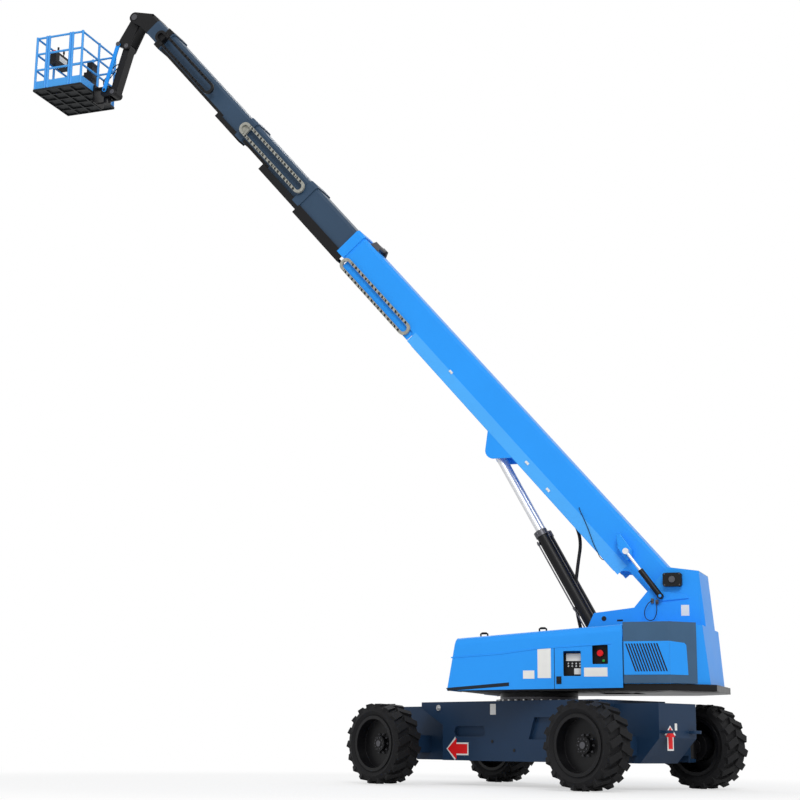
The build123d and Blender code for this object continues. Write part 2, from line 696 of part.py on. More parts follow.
# Hoods: hollow covers over each side, hinged along their inner top edges
roof_front = HOOD_FRONT - HOOD_RAKE
roof_rise = (HOOD_REAR_TOP - HOOD_NOSE_TOP) / (roof_front - TURRET_SPLIT - HOOD_GAP)
for side_name, hand in SIDES:
    with BuildPart() as hood:
        with BuildSketch(SIDE.offset(-hand * (HOOD_HINGE_Y + HOOD_HINGE_GAP))):
            with BuildLine():
                Polyline(
                    (HOOD_FRONT, HOOD_BOTTOM),
                    (HOOD_FRONT - HOOD_RAKE, HOOD_NOSE_TOP),
                    (TURRET_SPLIT + HOOD_GAP, HOOD_REAR_TOP),
                    (TURRET_SPLIT + HOOD_GAP, HOOD_REAR_BOTTOM),
                    close=True,
                )
            make_face()
        extrude(amount=-hand * (HOOD_WIDTH / 2 - HOOD_HINGE_Y - HOOD_HINGE_GAP))
        outer_side = hood.faces().sort_by(Axis.Y)[-1 if hand > 0 else 0]
        top_edge = outer_side.edges().sort_by(Axis.Z)[-1]
        fillet(top_edge, HOOD_EDGE)
        openings = [
            hood.faces().sort_by(Axis.Z)[0],
            hood.faces().sort_by(Axis.X)[0],
            hood.faces().sort_by(Axis.Y)[0 if hand > 0 else -1],
        ]
        offset(amount=-HOOD_SKIN, openings=openings)
        # Hinge rings on tabs along the inner top edge
        hinge = hinge_plane(hand)
        for place in HOOD_HINGE_PLACES:
            rod(hinge, 0, 0, HOOD_RING_DIA, place - HOOD_RING_LENGTH / 2, place + HOOD_RING_LENGTH / 2)
            roof_z = HOOD_NOSE_TOP + (roof_front - place) * roof_rise - HOOD_SKIN / 2
            with Locations((SLEW_X + place, hand * (HOOD_HINGE_Y + HOOD_TAB / 2), HOOD_HINGE_Z)):
                Box(
                    HOOD_RING_LENGTH,
                    HOOD_TAB,
                    roof_z - HOOD_HINGE_Z,
                    align=(Align.CENTER, Align.CENTER, Align.MIN),
                )
            rod(
                hinge,
                0,
                0,
                HOOD_PIN_DIA + 2 * FIT,
                place - HOOD_RING_LENGTH,
                place + HOOD_RING_LENGTH,
                mode=Mode.SUBTRACT,
            )
        if side_name == "left":
            # Windows over the ground controls
            for place, width, low, high in CONTROL_WINDOWS:
                with BuildSketch(SIDE.offset(-HOOD_WIDTH / 2)):
                    with Locations((place, (low + high) / 2)):
                        RectangleRounded(width, high - low, HOOD_SKIN)
                extrude(amount=4 * HOOD_SKIN, mode=Mode.SUBTRACT)
    save(hood, f"hood_{side_name}")

# Boom sections: nested box tubes, each with a collar at its tip that guides the next one
guides = [(width, depth) for _, width, depth, _, _ in SECTIONS[1:]] + [None]
for (name, width, depth, length, tip), guide in zip(SECTIONS, guides):
    with BuildPart() as section:
        with BuildSketch(boom_station(tip - length)):
            profile(width, depth)
            profile(width - 2 * SECTION_WALL, depth - 2 * SECTION_WALL, mode=Mode.SUBTRACT)
        extrude(amount=length)
        with BuildSketch(boom_station(tip - COLLAR_LENGTH)):
            if guide:
                profile(width + 2 * COLLAR_WALL, depth + 2 * COLLAR_WALL)
                profile(guide[0] + 2 * FIT, guide[1] + 2 * FIT, mode=Mode.SUBTRACT)
            else:
                profile(width, depth)
        extrude(amount=COLLAR_LENGTH)
        if name == "boom_base":
            # Solid foot block, bored for the pin
            with BuildSketch(boom_station(tip - length)):
                profile(width, depth)
            extrude(amount=FOOT_BLOCK)
            rod(BOOM, 0, 0, FOOT_PIN_DIA + 2 * FIT, -width, width, mode=Mode.SUBTRACT)
            skirt_v = BOOM_BOTTOM_V - SKIRT_DEPTH
            for _, hand in SIDES:
                # Side skirts with the lift cylinders' lugs below them
                with BuildSketch(BOOM.offset(-hand * width / 2)):
                    with BuildLine():
                        Polyline(
                            (SKIRT_START, BOOM_BOTTOM_V + SECTION_WALL),
                            (SKIRT_START + SKIRT_DEPTH, skirt_v),
                            (SKIRT_END - SKIRT_DEPTH, skirt_v),
                            (SKIRT_END, BOOM_BOTTOM_V + SECTION_WALL),
                            close=True,
                        )
                    make_face()
                extrude(amount=hand * SKIRT_WALL)
                with BuildSketch(BOOM.offset(-hand * width / 2)):
                    with BuildLine():
                        CenterArc((LIFT_EYE_U, LIFT_EYE_V), LIFT_LUG_DIA / 2, 0, 360)
                        Line(
                            (LIFT_EYE_U - LIFT_LUG_REACH, BOOM_BOTTOM_V),
                            (LIFT_EYE_U + LIFT_LUG_REACH, BOOM_BOTTOM_V),
                        )
                    make_hull()
                extrude(amount=hand * SKIRT_WALL)
            # Boss beside the levelling cylinder's rod eye
            boss_face = LEVEL_Y - LEVEL_BARREL_DIA / 2 - LEVEL_CLEARANCE
            rod(BOOM, LEVEL_EYE_U, LEVEL_EYE_V, LEVEL_BOSS_DIA, -boss_face, -width / 2)
        if name == "boom_fly":
            # Head plates for the levelled bracket
            for _, hand in SIDES:
                with BuildSketch(BOOM.offset(-hand * width / 2)):
                    with BuildLine():
                        CenterArc((HEAD_U, HEAD_V), HEAD_EYE_DIA / 2, 0, 360)
                        Line((tip, BOOM_AXIS_V - depth / 2), (tip, BOOM_AXIS_V + depth / 2))
                    make_hull()
                extrude(amount=hand * HEAD_WALL)
            rod(BOOM, HEAD_U, HEAD_V, HEAD_PIN_DIA + 2 * FIT, -width, width, mode=Mode.SUBTRACT)
    save(section, name)

# Cable carriers: flat loops of links on the left side.
# Columns: name, section that holds it, distance from its tip, middle height, length, inner face
CARRIERS = (
    (
        "carrier_base",
        SECTIONS[0],
        COLLAR_LENGTH + CARRIER_GAP,
        BOOM_BOTTOM_V + CARRIER_BAND - CARRIER_DEPTH / 2,
        1700,
        SECTIONS[0][1] / 2,
    ),
    ("carrier_middle", SECTIONS[2], 0, BOOM_AXIS_V, 1720, CARRIER_Y),
    ("carrier_upper", SECTIONS[3], 0, BOOM_AXIS_V, 1650, CARRIER_UPPER_Y),
)
for name, (_, width, _, _, tip), back, height, length, inner in CARRIERS:
    middle = tip - back - length / 2
    run = CARRIER_DEPTH - CARRIER_BAND
    pitch = (length - CARRIER_DEPTH) / CARRIER_LINKS
    with BuildPart() as carrier:
        with BuildSketch(BOOM.offset(-inner)):
            with Locations((middle, height)):
                SlotOverall(length, CARRIER_DEPTH)
                SlotOverall(
                    length - 2 * CARRIER_BAND,
                    CARRIER_DEPTH - 2 * CARRIER_BAND,
                    mode=Mode.SUBTRACT,
                )
        extrude(amount=-CARRIER_WIDTH)
        # Gaps between the links, cut into the outer face of both runs
        with BuildSketch(BOOM.offset(-inner - CARRIER_WIDTH)):
            with Locations((middle, height)):
                with GridLocations(pitch, run, CARRIER_LINKS, 2):
                    Rectangle(CARRIER_NOTCH, 2 * CARRIER_BAND)
        extrude(amount=CARRIER_WIDTH / 2, mode=Mode.SUBTRACT)
        if back == 0:
            # Bracket to the section's collar
            collar = width / 2 + COLLAR_WALL
            with BuildSketch(BOOM.offset(-collar)):
                with Locations((tip - CARRIER_DEPTH / 2, height)):
                    Rectangle(CARRIER_BRACKET, CARRIER_DEPTH - CARRIER_BAND)
            extrude(amount=collar - inner)
    save(carrier, name)

# Lift cylinders: twin barrels on one foot tube and twin rods on one eye tube
LIFT_EYE_X, LIFT_EYE_Z = boom_point(LIFT_EYE_U, LIFT_EYE_V)
LIFT_REACH = math.hypot(LIFT_EYE_X - LIFT_FOOT_X, LIFT_EYE_Z - LIFT_FOOT_Z)
lift_dir = Vector(LIFT_EYE_X - LIFT_FOOT_X, 0, LIFT_EYE_Z - LIFT_FOOT_Z).normalized()
LIFT = Plane(origin=(SLEW_X + LIFT_FOOT_X, 0, LIFT_FOOT_Z), x_dir=(0, 1, 0), z_dir=lift_dir)
lift_bore = LIFT_ROD_DIA + 2 * LIFT_PISTON_STEP
lift_tube = TOWER_GAP / 2 - FIT
with BuildPart() as lift_barrels:
    for _, hand in SIDES:
        y = hand * LIFT_SPREAD / 2
        rod(LIFT, y, 0, LIFT_BARREL_DIA, 0, LIFT_BARREL_LENGTH)
        rod(
            LIFT,
            y,
            0,
            lift_bore,
            LIFT_BARREL_DIA,
            LIFT_BARREL_LENGTH - LIFT_GLAND,
            mode=Mode.SUBTRACT,
        )
        rod(
            LIFT,
            y,
            0,
            LIFT_ROD_DIA + 2 * FIT,
            LIFT_BARREL_LENGTH - LIFT_GLAND,
            LIFT_BARREL_LENGTH,
            mode=Mode.SUBTRACT,
        )
    foot = (LIFT_FOOT_X, LIFT_FOOT_Z)
    rod(SIDE, *foot, LIFT_BARREL_DIA, -lift_tube, lift_tube)
    rod(SIDE, *foot, LIFT_PIN_DIA + 2 * FIT, -lift_tube, lift_tube, mode=Mode.SUBTRACT)
save(lift_barrels, "lift_barrels")

with BuildPart() as lift_rods:
    for _, hand in SIDES:
        y = hand * LIFT_SPREAD / 2
        rod(LIFT, y, 0, LIFT_ROD_DIA, LIFT_REACH - LIFT_ROD_LENGTH, LIFT_REACH)
        rod(
            LIFT,
            y,
            0,
            lift_bore - 2 * FIT,
            LIFT_REACH - LIFT_ROD_LENGTH,
            LIFT_REACH - LIFT_ROD_LENGTH + LIFT_GLAND,
        )
    eye_half = SECTIONS[0][1] / 2 - SKIRT_WALL - FIT
    rod(SIDE, LIFT_EYE_X, LIFT_EYE_Z, LIFT_EYE_DIA, -eye_half, eye_half)
save(lift_rods, "lift_rods")

# Levelling cylinder, beside the boom's foot on the left
LEVEL_EYE_X, LEVEL_EYE_Z = boom_point(LEVEL_EYE_U, LEVEL_EYE_V)
LEVEL_REACH = math.hypot(LEVEL_EYE_X - LEVEL_FOOT_X, LEVEL_EYE_Z - LEVEL_FOOT_Z)
level_dir = Vector(LEVEL_EYE_X - LEVEL_FOOT_X, 0, LEVEL_EYE_Z - LEVEL_FOOT_Z).normalized()
LEVEL = Plane(
    origin=(SLEW_X + LEVEL_FOOT_X, LEVEL_Y, LEVEL_FOOT_Z), x_dir=(0, 1, 0), z_dir=level_dir
)
level_near = -LEVEL_Y - LEVEL_BARREL_DIA / 2
level_far = -LEVEL_Y + LEVEL_BARREL_DIA / 2
with BuildPart() as level_barrel:
    rod(LEVEL, 0, 0, LEVEL_BARREL_DIA, 0, LEVEL_BARREL_LENGTH)
    rod(
        LEVEL,
        0,
        0,
        LEVEL_ROD_DIA + 2 * FIT,
        LEVEL_BARREL_DIA,
        LEVEL_BARREL_LENGTH,
        mode=Mode.SUBTRACT,
    )
    foot = (LEVEL_FOOT_X, LEVEL_FOOT_Z)
    rod(SIDE, *foot, LEVEL_EYE_DIA, level_near, level_far)
    rod(SIDE, *foot, LEVEL_PIN_DIA + 2 * FIT, level_near, level_far, mode=Mode.SUBTRACT)
save(level_barrel, "level_barrel")

with BuildPart() as level_rod:
    rod(LEVEL, 0, 0, LEVEL_ROD_DIA, LEVEL_REACH - LEVEL_ROD_LENGTH, LEVEL_REACH)
    rod(SIDE, LEVEL_EYE_X, LEVEL_EYE_Z, LEVEL_EYE_DIA, level_near, level_far)
save(level_rod, "level_rod")

# Levelled bracket: two plates from the boom's head down to the jib, with their pins
arm_half = JIB_WIDTH / 2
plate_near = arm_half + JIB_CLEARANCE
plate_far = plate_near + JIB_PLATE_WALL
link_near = plate_far + JIB_CLEARANCE
link_far = link_near + JIB_LINK_WALL
LINK_X = -JIB_LINK_OFFSET * JIB_SIN
LINK_Z = JIB_LINK_OFFSET * JIB_COS
with BuildPart() as level_bracket:
    for _, hand in SIDES:
        with BuildSketch(SIDE.offset(-hand * plate_near)):
            with BuildLine():
                CenterArc((HEAD_X, HEAD_Z), HEAD_EYE_DIA / 2, 0, 360)
                CenterArc((JIB_X, JIB_Z), JIB_DEPTH / 2, 0, 360)
                CenterArc((JIB_X + LINK_X, JIB_Z + LINK_Z), JIB_LINK_DEPTH / 2, 0, 360)
            make_hull()
        extrude(amount=-hand * JIB_PLATE_WALL)
        rod(
            SIDE,
            JIB_X + LINK_X,
            JIB_Z + LINK_Z,
            JIB_PIN_DIA,
            -hand * plate_far,
            -hand * link_far,
        )
    rod(SIDE, HEAD_X, HEAD_Z, HEAD_PIN_DIA, -SECTIONS[-1][1] / 2, SECTIONS[-1][1] / 2)
    rod(SIDE, JIB_X, JIB_Z, JIB_PIN_DIA, -plate_far, plate_far)
save(level_bracket, "level_bracket")

with BuildPart() as jib_arm:
    with BuildSketch(JIB):
        with Locations((JIB_LENGTH / 2, 0)):
            SlotOverall(JIB_LENGTH + JIB_DEPTH, JIB_DEPTH)
    extrude(amount=arm_half, both=True)
    for place in (0, JIB_LENGTH):
        rod(JIB, place, 0, JIB_PIN_DIA + 2 * FIT, -arm_half, arm_half, mode=Mode.SUBTRACT)
save(jib_arm, "jib_arm")

with BuildPart() as jib_links:
    for _, hand in SIDES:
        with BuildSketch(JIB.offset(-hand * link_near)):
            with Locations((JIB_LENGTH / 2, JIB_LINK_OFFSET)):
                SlotOverall(JIB_LENGTH + JIB_LINK_DEPTH, JIB_LINK_DEPTH)
            with Locations((0, JIB_LINK_OFFSET), (JIB_LENGTH, JIB_LINK_OFFSET)):
                Circle(JIB_PIN_DIA / 2 + FIT, mode=Mode.SUBTRACT)
        extrude(amount=-hand * JIB_LINK_WALL)
save(jib_links, "jib_links")

# Platform support: two plates on the jib's end and the rotator's housing
with BuildPart() as platform_support:
    for _, hand in SIDES:
        with BuildSketch(SIDE.offset(-hand * plate_near)):
            with BuildLine():
                CenterArc((JIB_END_X, JIB_END_Z), JIB_DEPTH / 2, 0, 360)
                CenterArc((ROTATOR_X, JIB_END_Z), ROTATOR_DIA / 2, 0, 360)
                CenterArc((JIB_END_X + LINK_X, JIB_END_Z + LINK_Z), JIB_LINK_DEPTH / 2, 0, 360)
            make_hull()
        extrude(amount=-hand * JIB_PLATE_WALL)
        rod(
            SIDE,
            JIB_END_X + LINK_X,
            JIB_END_Z + LINK_Z,
            JIB_PIN_DIA,
            -hand * plate_far,
            -hand * link_far,
        )
    rod(SIDE, JIB_END_X, JIB_END_Z, JIB_PIN_DIA, -plate_far, plate_far)
    housing = ROTATOR_HEIGHT / 2
    with BuildSketch(SIDE):
        with Locations((ROTATOR_X - ROTATOR_DIA / 4, JIB_END_Z)):
            Rectangle(ROTATOR_DIA / 2, ROTATOR_NECK)
    extrude(amount=plate_far, both=True)
    rod(PLATFORM, 0, 0, ROTATOR_DIA, -housing, housing)
    rod(PLATFORM, 0, 0, ROTATOR_PIN_DIA + 2 * FIT, -housing, housing, mode=Mode.SUBTRACT)
save(platform_support, "platform_support")

# Platform bracket: plates over and under the rotator, on a back plate
with BuildPart(PLATFORM) as platform_bracket:
    back = PLATFORM_STANDOFF - BRACKET_WALL
    fork = housing + FIT + BRACKET_WALL / 2
    for level in (-1, 1):
        with Locations((back / 2, 0, level * fork)):
            Box(back, BRACKET_ARM, BRACKET_WALL)
        rod(
            PLATFORM,
            0,
            0,
            ROTATOR_DIA,
            level * fork - BRACKET_WALL / 2,
            level * fork + BRACKET_WALL / 2,
        )
    with Locations((PLATFORM_STANDOFF - BRACKET_WALL / 2, 0, 0)):
        Box(BRACKET_WALL, BRACKET_WIDTH, 2 * fork + BRACKET_WALL)
    rod(PLATFORM, 0, 0, ROTATOR_PIN_DIA, -fork, fork)
save(platform_bracket, "platform_bracket")

front = PLATFORM_STANDOFF + PLATFORM_DEPTH
half = PLATFORM_WIDTH / 2
with BuildPart(PLATFORM) as platform_floor:
    with Locations(((PLATFORM_STANDOFF + front) / 2, 0, FLOOR_WALL / 2)):
        Box(PLATFORM_DEPTH, PLATFORM_WIDTH, FLOOR_WALL)
    # Open grid of pockets in the underside
    with Locations(((PLATFORM_STANDOFF + front) / 2, 0, FLOOR_RIB_DEPTH / 2)):
        with GridLocations(PLATFORM_DEPTH / 4, PLATFORM_WIDTH / 5, 4, 5):
            Box(
                PLATFORM_DEPTH / 4 - FLOOR_RIB,
                PLATFORM_WIDTH / 5 - FLOOR_RIB,
                FLOOR_RIB_DEPTH,
                mode=Mode.SUBTRACT,
            )
save(platform_floor, "platform_floor")

# Guard rails: a flat panel of tubes and a toe board on each side, with the gate in the left one.
# Columns: name, direction of the panel, line that it stands on, and spans of it with their posts
edge = POST_DIA / 2
back_x = PLATFORM_STANDOFF + edge
front_x = front - edge
side_y = half - edge
joint = edge + SEAT
gate_x = (back_x + front_x - GATE_WIDTH) / 2
PANELS = (
    ("platform_rail_back", "y", back_x, ((-side_y, side_y, (-side_y, 0, side_y)),)),
    ("platform_rail_front", "y", front_x, ((-side_y, side_y, (-side_y, 0, side_y)),)),
    (
        "platform_rail_right",
        "x",
        -side_y,
        ((back_x + joint, front_x - joint, ((back_x + front_x) / 2,)),),
    ),
    (
        "platform_rail_left",
        "x",
        side_y,
        (
            (back_x + joint, gate_x, (gate_x,)),
            (gate_x + GATE_WIDTH, front_x - joint, (gate_x + GATE_WIDTH,)),
        ),
    ),
    (
        "platform_gate",
        "x",
        side_y,
        (
            (
                gate_x + POST_DIA + GATE_GAP,
                gate_x + GATE_WIDTH - POST_DIA - GATE_GAP,
                (gate_x + POST_DIA + GATE_GAP, gate_x + GATE_WIDTH - POST_DIA - GATE_GAP),
            ),
        ),
    ),
)
for name, direction, line, spans in PANELS:
    foot_z = FLOOR_WALL + (FIT if name == "platform_gate" else 0)
    with BuildPart(PLATFORM) as panel:
        for start, stop, posts in spans:
            along = [(place, line) if direction == "x" else (line, place) for place in (start, stop)]
            for height in (RAIL_HEIGHT, *MID_RAILS):
                bar((*along[0], height), (*along[1], height), RAIL_DIA)
            for place in posts:
                post = (place, line) if direction == "x" else (line, place)
                bar((*post, foot_z), (*post, RAIL_HEIGHT + POST_DIA / 2), POST_DIA)
            size = (stop - start, TOE_WALL) if direction == "x" else (TOE_WALL, stop - start)
            middle = ((along[0][0] + along[1][0]) / 2, (along[0][1] + along[1][1]) / 2)
            with Locations((*middle, foot_z + TOE_HEIGHT / 2)):
                Box(*size, TOE_HEIGHT)
    save(panel, name)

# Control console on the front rail
with BuildPart(PLATFORM) as platform_console:
    with Locations((front_x - edge - SEAT - CONSOLE_SIZE[0] / 2, 0, CONSOLE_Z)):
        Box(*CONSOLE_SIZE)
save(platform_console, "platform_console")
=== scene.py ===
"""Telescopic boom lift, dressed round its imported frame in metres: +X along the boom, +Y left, +Z up."""

import json
import math

import bmesh
import bpy
from mathutils import Matrix, Vector


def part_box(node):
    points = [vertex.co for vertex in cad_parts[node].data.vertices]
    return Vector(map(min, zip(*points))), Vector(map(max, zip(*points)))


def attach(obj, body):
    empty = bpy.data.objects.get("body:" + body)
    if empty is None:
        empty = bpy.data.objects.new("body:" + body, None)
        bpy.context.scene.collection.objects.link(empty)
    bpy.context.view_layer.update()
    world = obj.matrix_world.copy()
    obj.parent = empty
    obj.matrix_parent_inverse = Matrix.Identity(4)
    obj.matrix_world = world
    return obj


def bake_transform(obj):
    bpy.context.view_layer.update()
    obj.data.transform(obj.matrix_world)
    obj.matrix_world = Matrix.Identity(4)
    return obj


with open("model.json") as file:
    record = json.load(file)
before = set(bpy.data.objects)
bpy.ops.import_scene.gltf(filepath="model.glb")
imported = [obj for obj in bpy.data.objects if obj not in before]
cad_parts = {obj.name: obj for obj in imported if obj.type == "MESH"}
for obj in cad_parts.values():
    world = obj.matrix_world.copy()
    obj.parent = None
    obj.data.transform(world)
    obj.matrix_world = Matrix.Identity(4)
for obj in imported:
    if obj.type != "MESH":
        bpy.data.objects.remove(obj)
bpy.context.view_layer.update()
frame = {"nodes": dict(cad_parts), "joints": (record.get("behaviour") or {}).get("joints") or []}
nodes = frame["nodes"]
joints = {joint["name"]: joint for joint in frame["joints"]}

# Camera: it stands low on the machine's left, a little towards the rear, and looks up at the boom.
# Its place is measured from the slew axis on the ground, and its lens in pixels of a square frame.
CAMERA_FROM_SLEW = Vector((-5.862, 21.909, 0.58))
CAMERA_YAW = math.radians(20.16)
CAMERA_PITCH = math.radians(12.58)
CAMERA_ROLL = math.radians(0.53)
FOCAL_PIXELS = 1539
PICTURE_PIXELS = 800
SENSOR = 36
VIEW_REACH = 1000

scene = bpy.context.scene
scene.view_settings.view_transform = "Standard"
slew_place = Vector(joints["slew"]["pos_m"])
turret_frame = Matrix.Translation((slew_place.x, slew_place.y, 0))
forward = Vector(
    (
        math.sin(CAMERA_YAW) * math.cos(CAMERA_PITCH),
        -math.cos(CAMERA_YAW) * math.cos(CAMERA_PITCH),
        math.sin(CAMERA_PITCH),
    )
)
level_right = Vector((-math.cos(CAMERA_YAW), -math.sin(CAMERA_YAW), 0))
level_up = level_right.cross(forward)
camera_right = level_right * math.cos(CAMERA_ROLL) + level_up * math.sin(CAMERA_ROLL)
camera_up = level_up * math.cos(CAMERA_ROLL) - level_right * math.sin(CAMERA_ROLL)
camera_data = bpy.data.cameras.new("camera")
camera_data.sensor_width = SENSOR
camera_data.lens = FOCAL_PIXELS / PICTURE_PIXELS * SENSOR
camera_data.clip_end = VIEW_REACH
camera = bpy.data.objects.new("camera", camera_data)
camera_turn = Matrix((camera_right, camera_up, -forward)).transposed().to_4x4()
camera.matrix_world = turret_frame @ Matrix.Translation(CAMERA_FROM_SLEW) @ camera_turn
scene.collection.objects.link(camera)
scene.camera = camera

# Light: a large soft lamp high on the camera's side, a weaker one behind, and an even white sky.
# The sky lights the machine at half strength, and shows plain white behind it and in polished metal.
WHITE = (1, 1, 1, 1)
SKY_LIGHT = 0.5
SKY_SHOWN = 1.0
# Lamp columns: name, place, aim, power, size
LAMPS = (
    ("key_lamp", (-14, 26, 24), (-3, 0, 4), 5600, 14),
    ("back_lamp", (14, -20, 18), (0, 0, 5), 2200, 12),
)
for name, place, aim, power, size in LAMPS:
    lamp_data = bpy.data.lights.new(name, "AREA")
    lamp_data.energy = power
    lamp_data.size = size
    lamp = bpy.data.objects.new(name, lamp_data)
    lamp.location = place
    lamp.rotation_euler = (Vector(aim) - Vector(place)).to_track_quat("-Z", "Y").to_euler()
    scene.collection.objects.link(lamp)

sky = bpy.data.worlds.new("white_sky")
sky.use_nodes = True
scene.world = sky
sky_nodes = sky.node_tree.nodes
sky_links = sky.node_tree.links
background = sky_nodes["Background"]
background.inputs["Color"].default_value = WHITE
light_path = sky_nodes.new("ShaderNodeLightPath")
shown = light_path.outputs["Is Camera Ray"]
for ray in ("Is Glossy Ray", "Is Transmission Ray"):
    either = sky_nodes.new("ShaderNodeMath")
    either.operation = "ADD"
    either.use_clamp = True
    sky_links.new(shown, either.inputs[0])
    sky_links.new(light_path.outputs[ray], either.inputs[1])
    shown = either.outputs[0]
strength = sky_nodes.new("ShaderNodeMapRange")
strength.inputs["To Min"].default_value = SKY_LIGHT
strength.inputs["To Max"].default_value = SKY_SHOWN
sky_links.new(shown, strength.inputs["Value"])
sky_links.new(strength.outputs[0], background.inputs["Strength"])

# Floor: a plain pale sheet, far wider than the view, that takes the machine's shadow.
# To the camera it is partly white under the machine, and fades to full white further out.
FLOOR_HALF = 400
FLOOR_COLOUR = (0.92, 0.92, 0.92, 1)
FLOOR_ROUGHNESS = 0.9
FADE_START = 5
FADE_END = 10
FADE_LEAST = 0.55

floor_mesh = bmesh.new()
bmesh.ops.create_grid(floor_mesh, x_segments=1, y_segments=1, size=FLOOR_HALF)
floor_data = bpy.data.meshes.new("floor")
floor_mesh.to_mesh(floor_data)
floor_mesh.free()
floor = bpy.data.objects.new("floor", floor_data)
scene.collection.objects.link(floor)
floor_material = bpy.data.materials.new("pale_floor")
floor_material.use_nodes = True
floor_nodes = floor_material.node_tree.nodes
floor_links = floor_material.node_tree.links
floor_shader = floor_nodes["Principled BSDF"]
floor_shader.inputs["Base Color"].default_value = FLOOR_COLOUR
floor_shader.inputs["Roughness"].default_value = FLOOR_ROUGHNESS
floor_data.materials.append(floor_material)
floor_light = floor_nodes.new("ShaderNodeEmission")
floor_light.inputs["Color"].default_value = WHITE
floor_place = floor_nodes.new("ShaderNodeTexCoord")
floor_distance = floor_nodes.new("ShaderNodeVectorMath")
floor_distance.operation = "LENGTH"
floor_links.new(floor_place.outputs["Object"], floor_distance.inputs[0])
floor_fade = floor_nodes.new("ShaderNodeMapRange")
floor_fade.interpolation_type = "SMOOTHSTEP"
floor_fade.inputs["From Min"].default_value = FADE_START
floor_fade.inputs["From Max"].default_value = FADE_END
floor_fade.inputs["To Min"].default_value = FADE_LEAST
floor_links.new(floor_distance.outputs["Value"], floor_fade.inputs["Value"])
floor_seen = floor_nodes.new("ShaderNodeLightPath")
floor_share = floor_nodes.new("ShaderNodeMath")
floor_share.operation = "MULTIPLY"
floor_links.new(floor_fade.outputs[0], floor_share.inputs[0])
floor_links.new(floor_seen.outputs["Is Camera Ray"], floor_share.inputs[1])
floor_mix = floor_nodes.new("ShaderNodeMixShader")
floor_links.new(floor_share.outputs[0], floor_mix.inputs[0])
floor_links.new(floor_shader.outputs[0], floor_mix.inputs[1])
floor_links.new(floor_light.outputs[0], floor_mix.inputs[2])
floor_links.new(floor_mix.outputs[0], floor_nodes["Material Output"].inputs["Surface"])

# Hydraulic hoses: black rubber over steel braid, clamped at both ends. One runs from the deck up to the
# boom, a thin lead crosses the boom's side, one hangs in a loop at the levelling cylinder, and two run
# from the jib to the platform's turning gear.
RUBBER_COLOUR = (0.012, 0.012, 0.013)
CLOUD_DETAIL = 4
ROUGHNESS_DRIFT = 0.08
ROUGHNESS_LEAST = 0.03
GRAIN_STRENGTH = 0.35
EDGE_SAMPLES = 4
# Edge wear and a painted edge highlight set in where the eased normal leaves the flat one: the cosines at
# their start and at their full share
WEAR_AND_HIGHLIGHT_START = 0.98
WEAR_AND_HIGHLIGHT_FULL = 0.8
WEAR_AND_HIGHLIGHT_SHARE = 0.6
WEAR_AND_HIGHLIGHT_GAIN = 1.25
WEAR_AND_HIGHLIGHT_LIFT = 0.04
# Sockets of a colour mix: its two colours, and its result
MIX_FIRST = 6
MIX_SECOND = 7
MIX_RESULT = 2
HOSE_STEPS = 10
HOSE_ROUNDING = 3


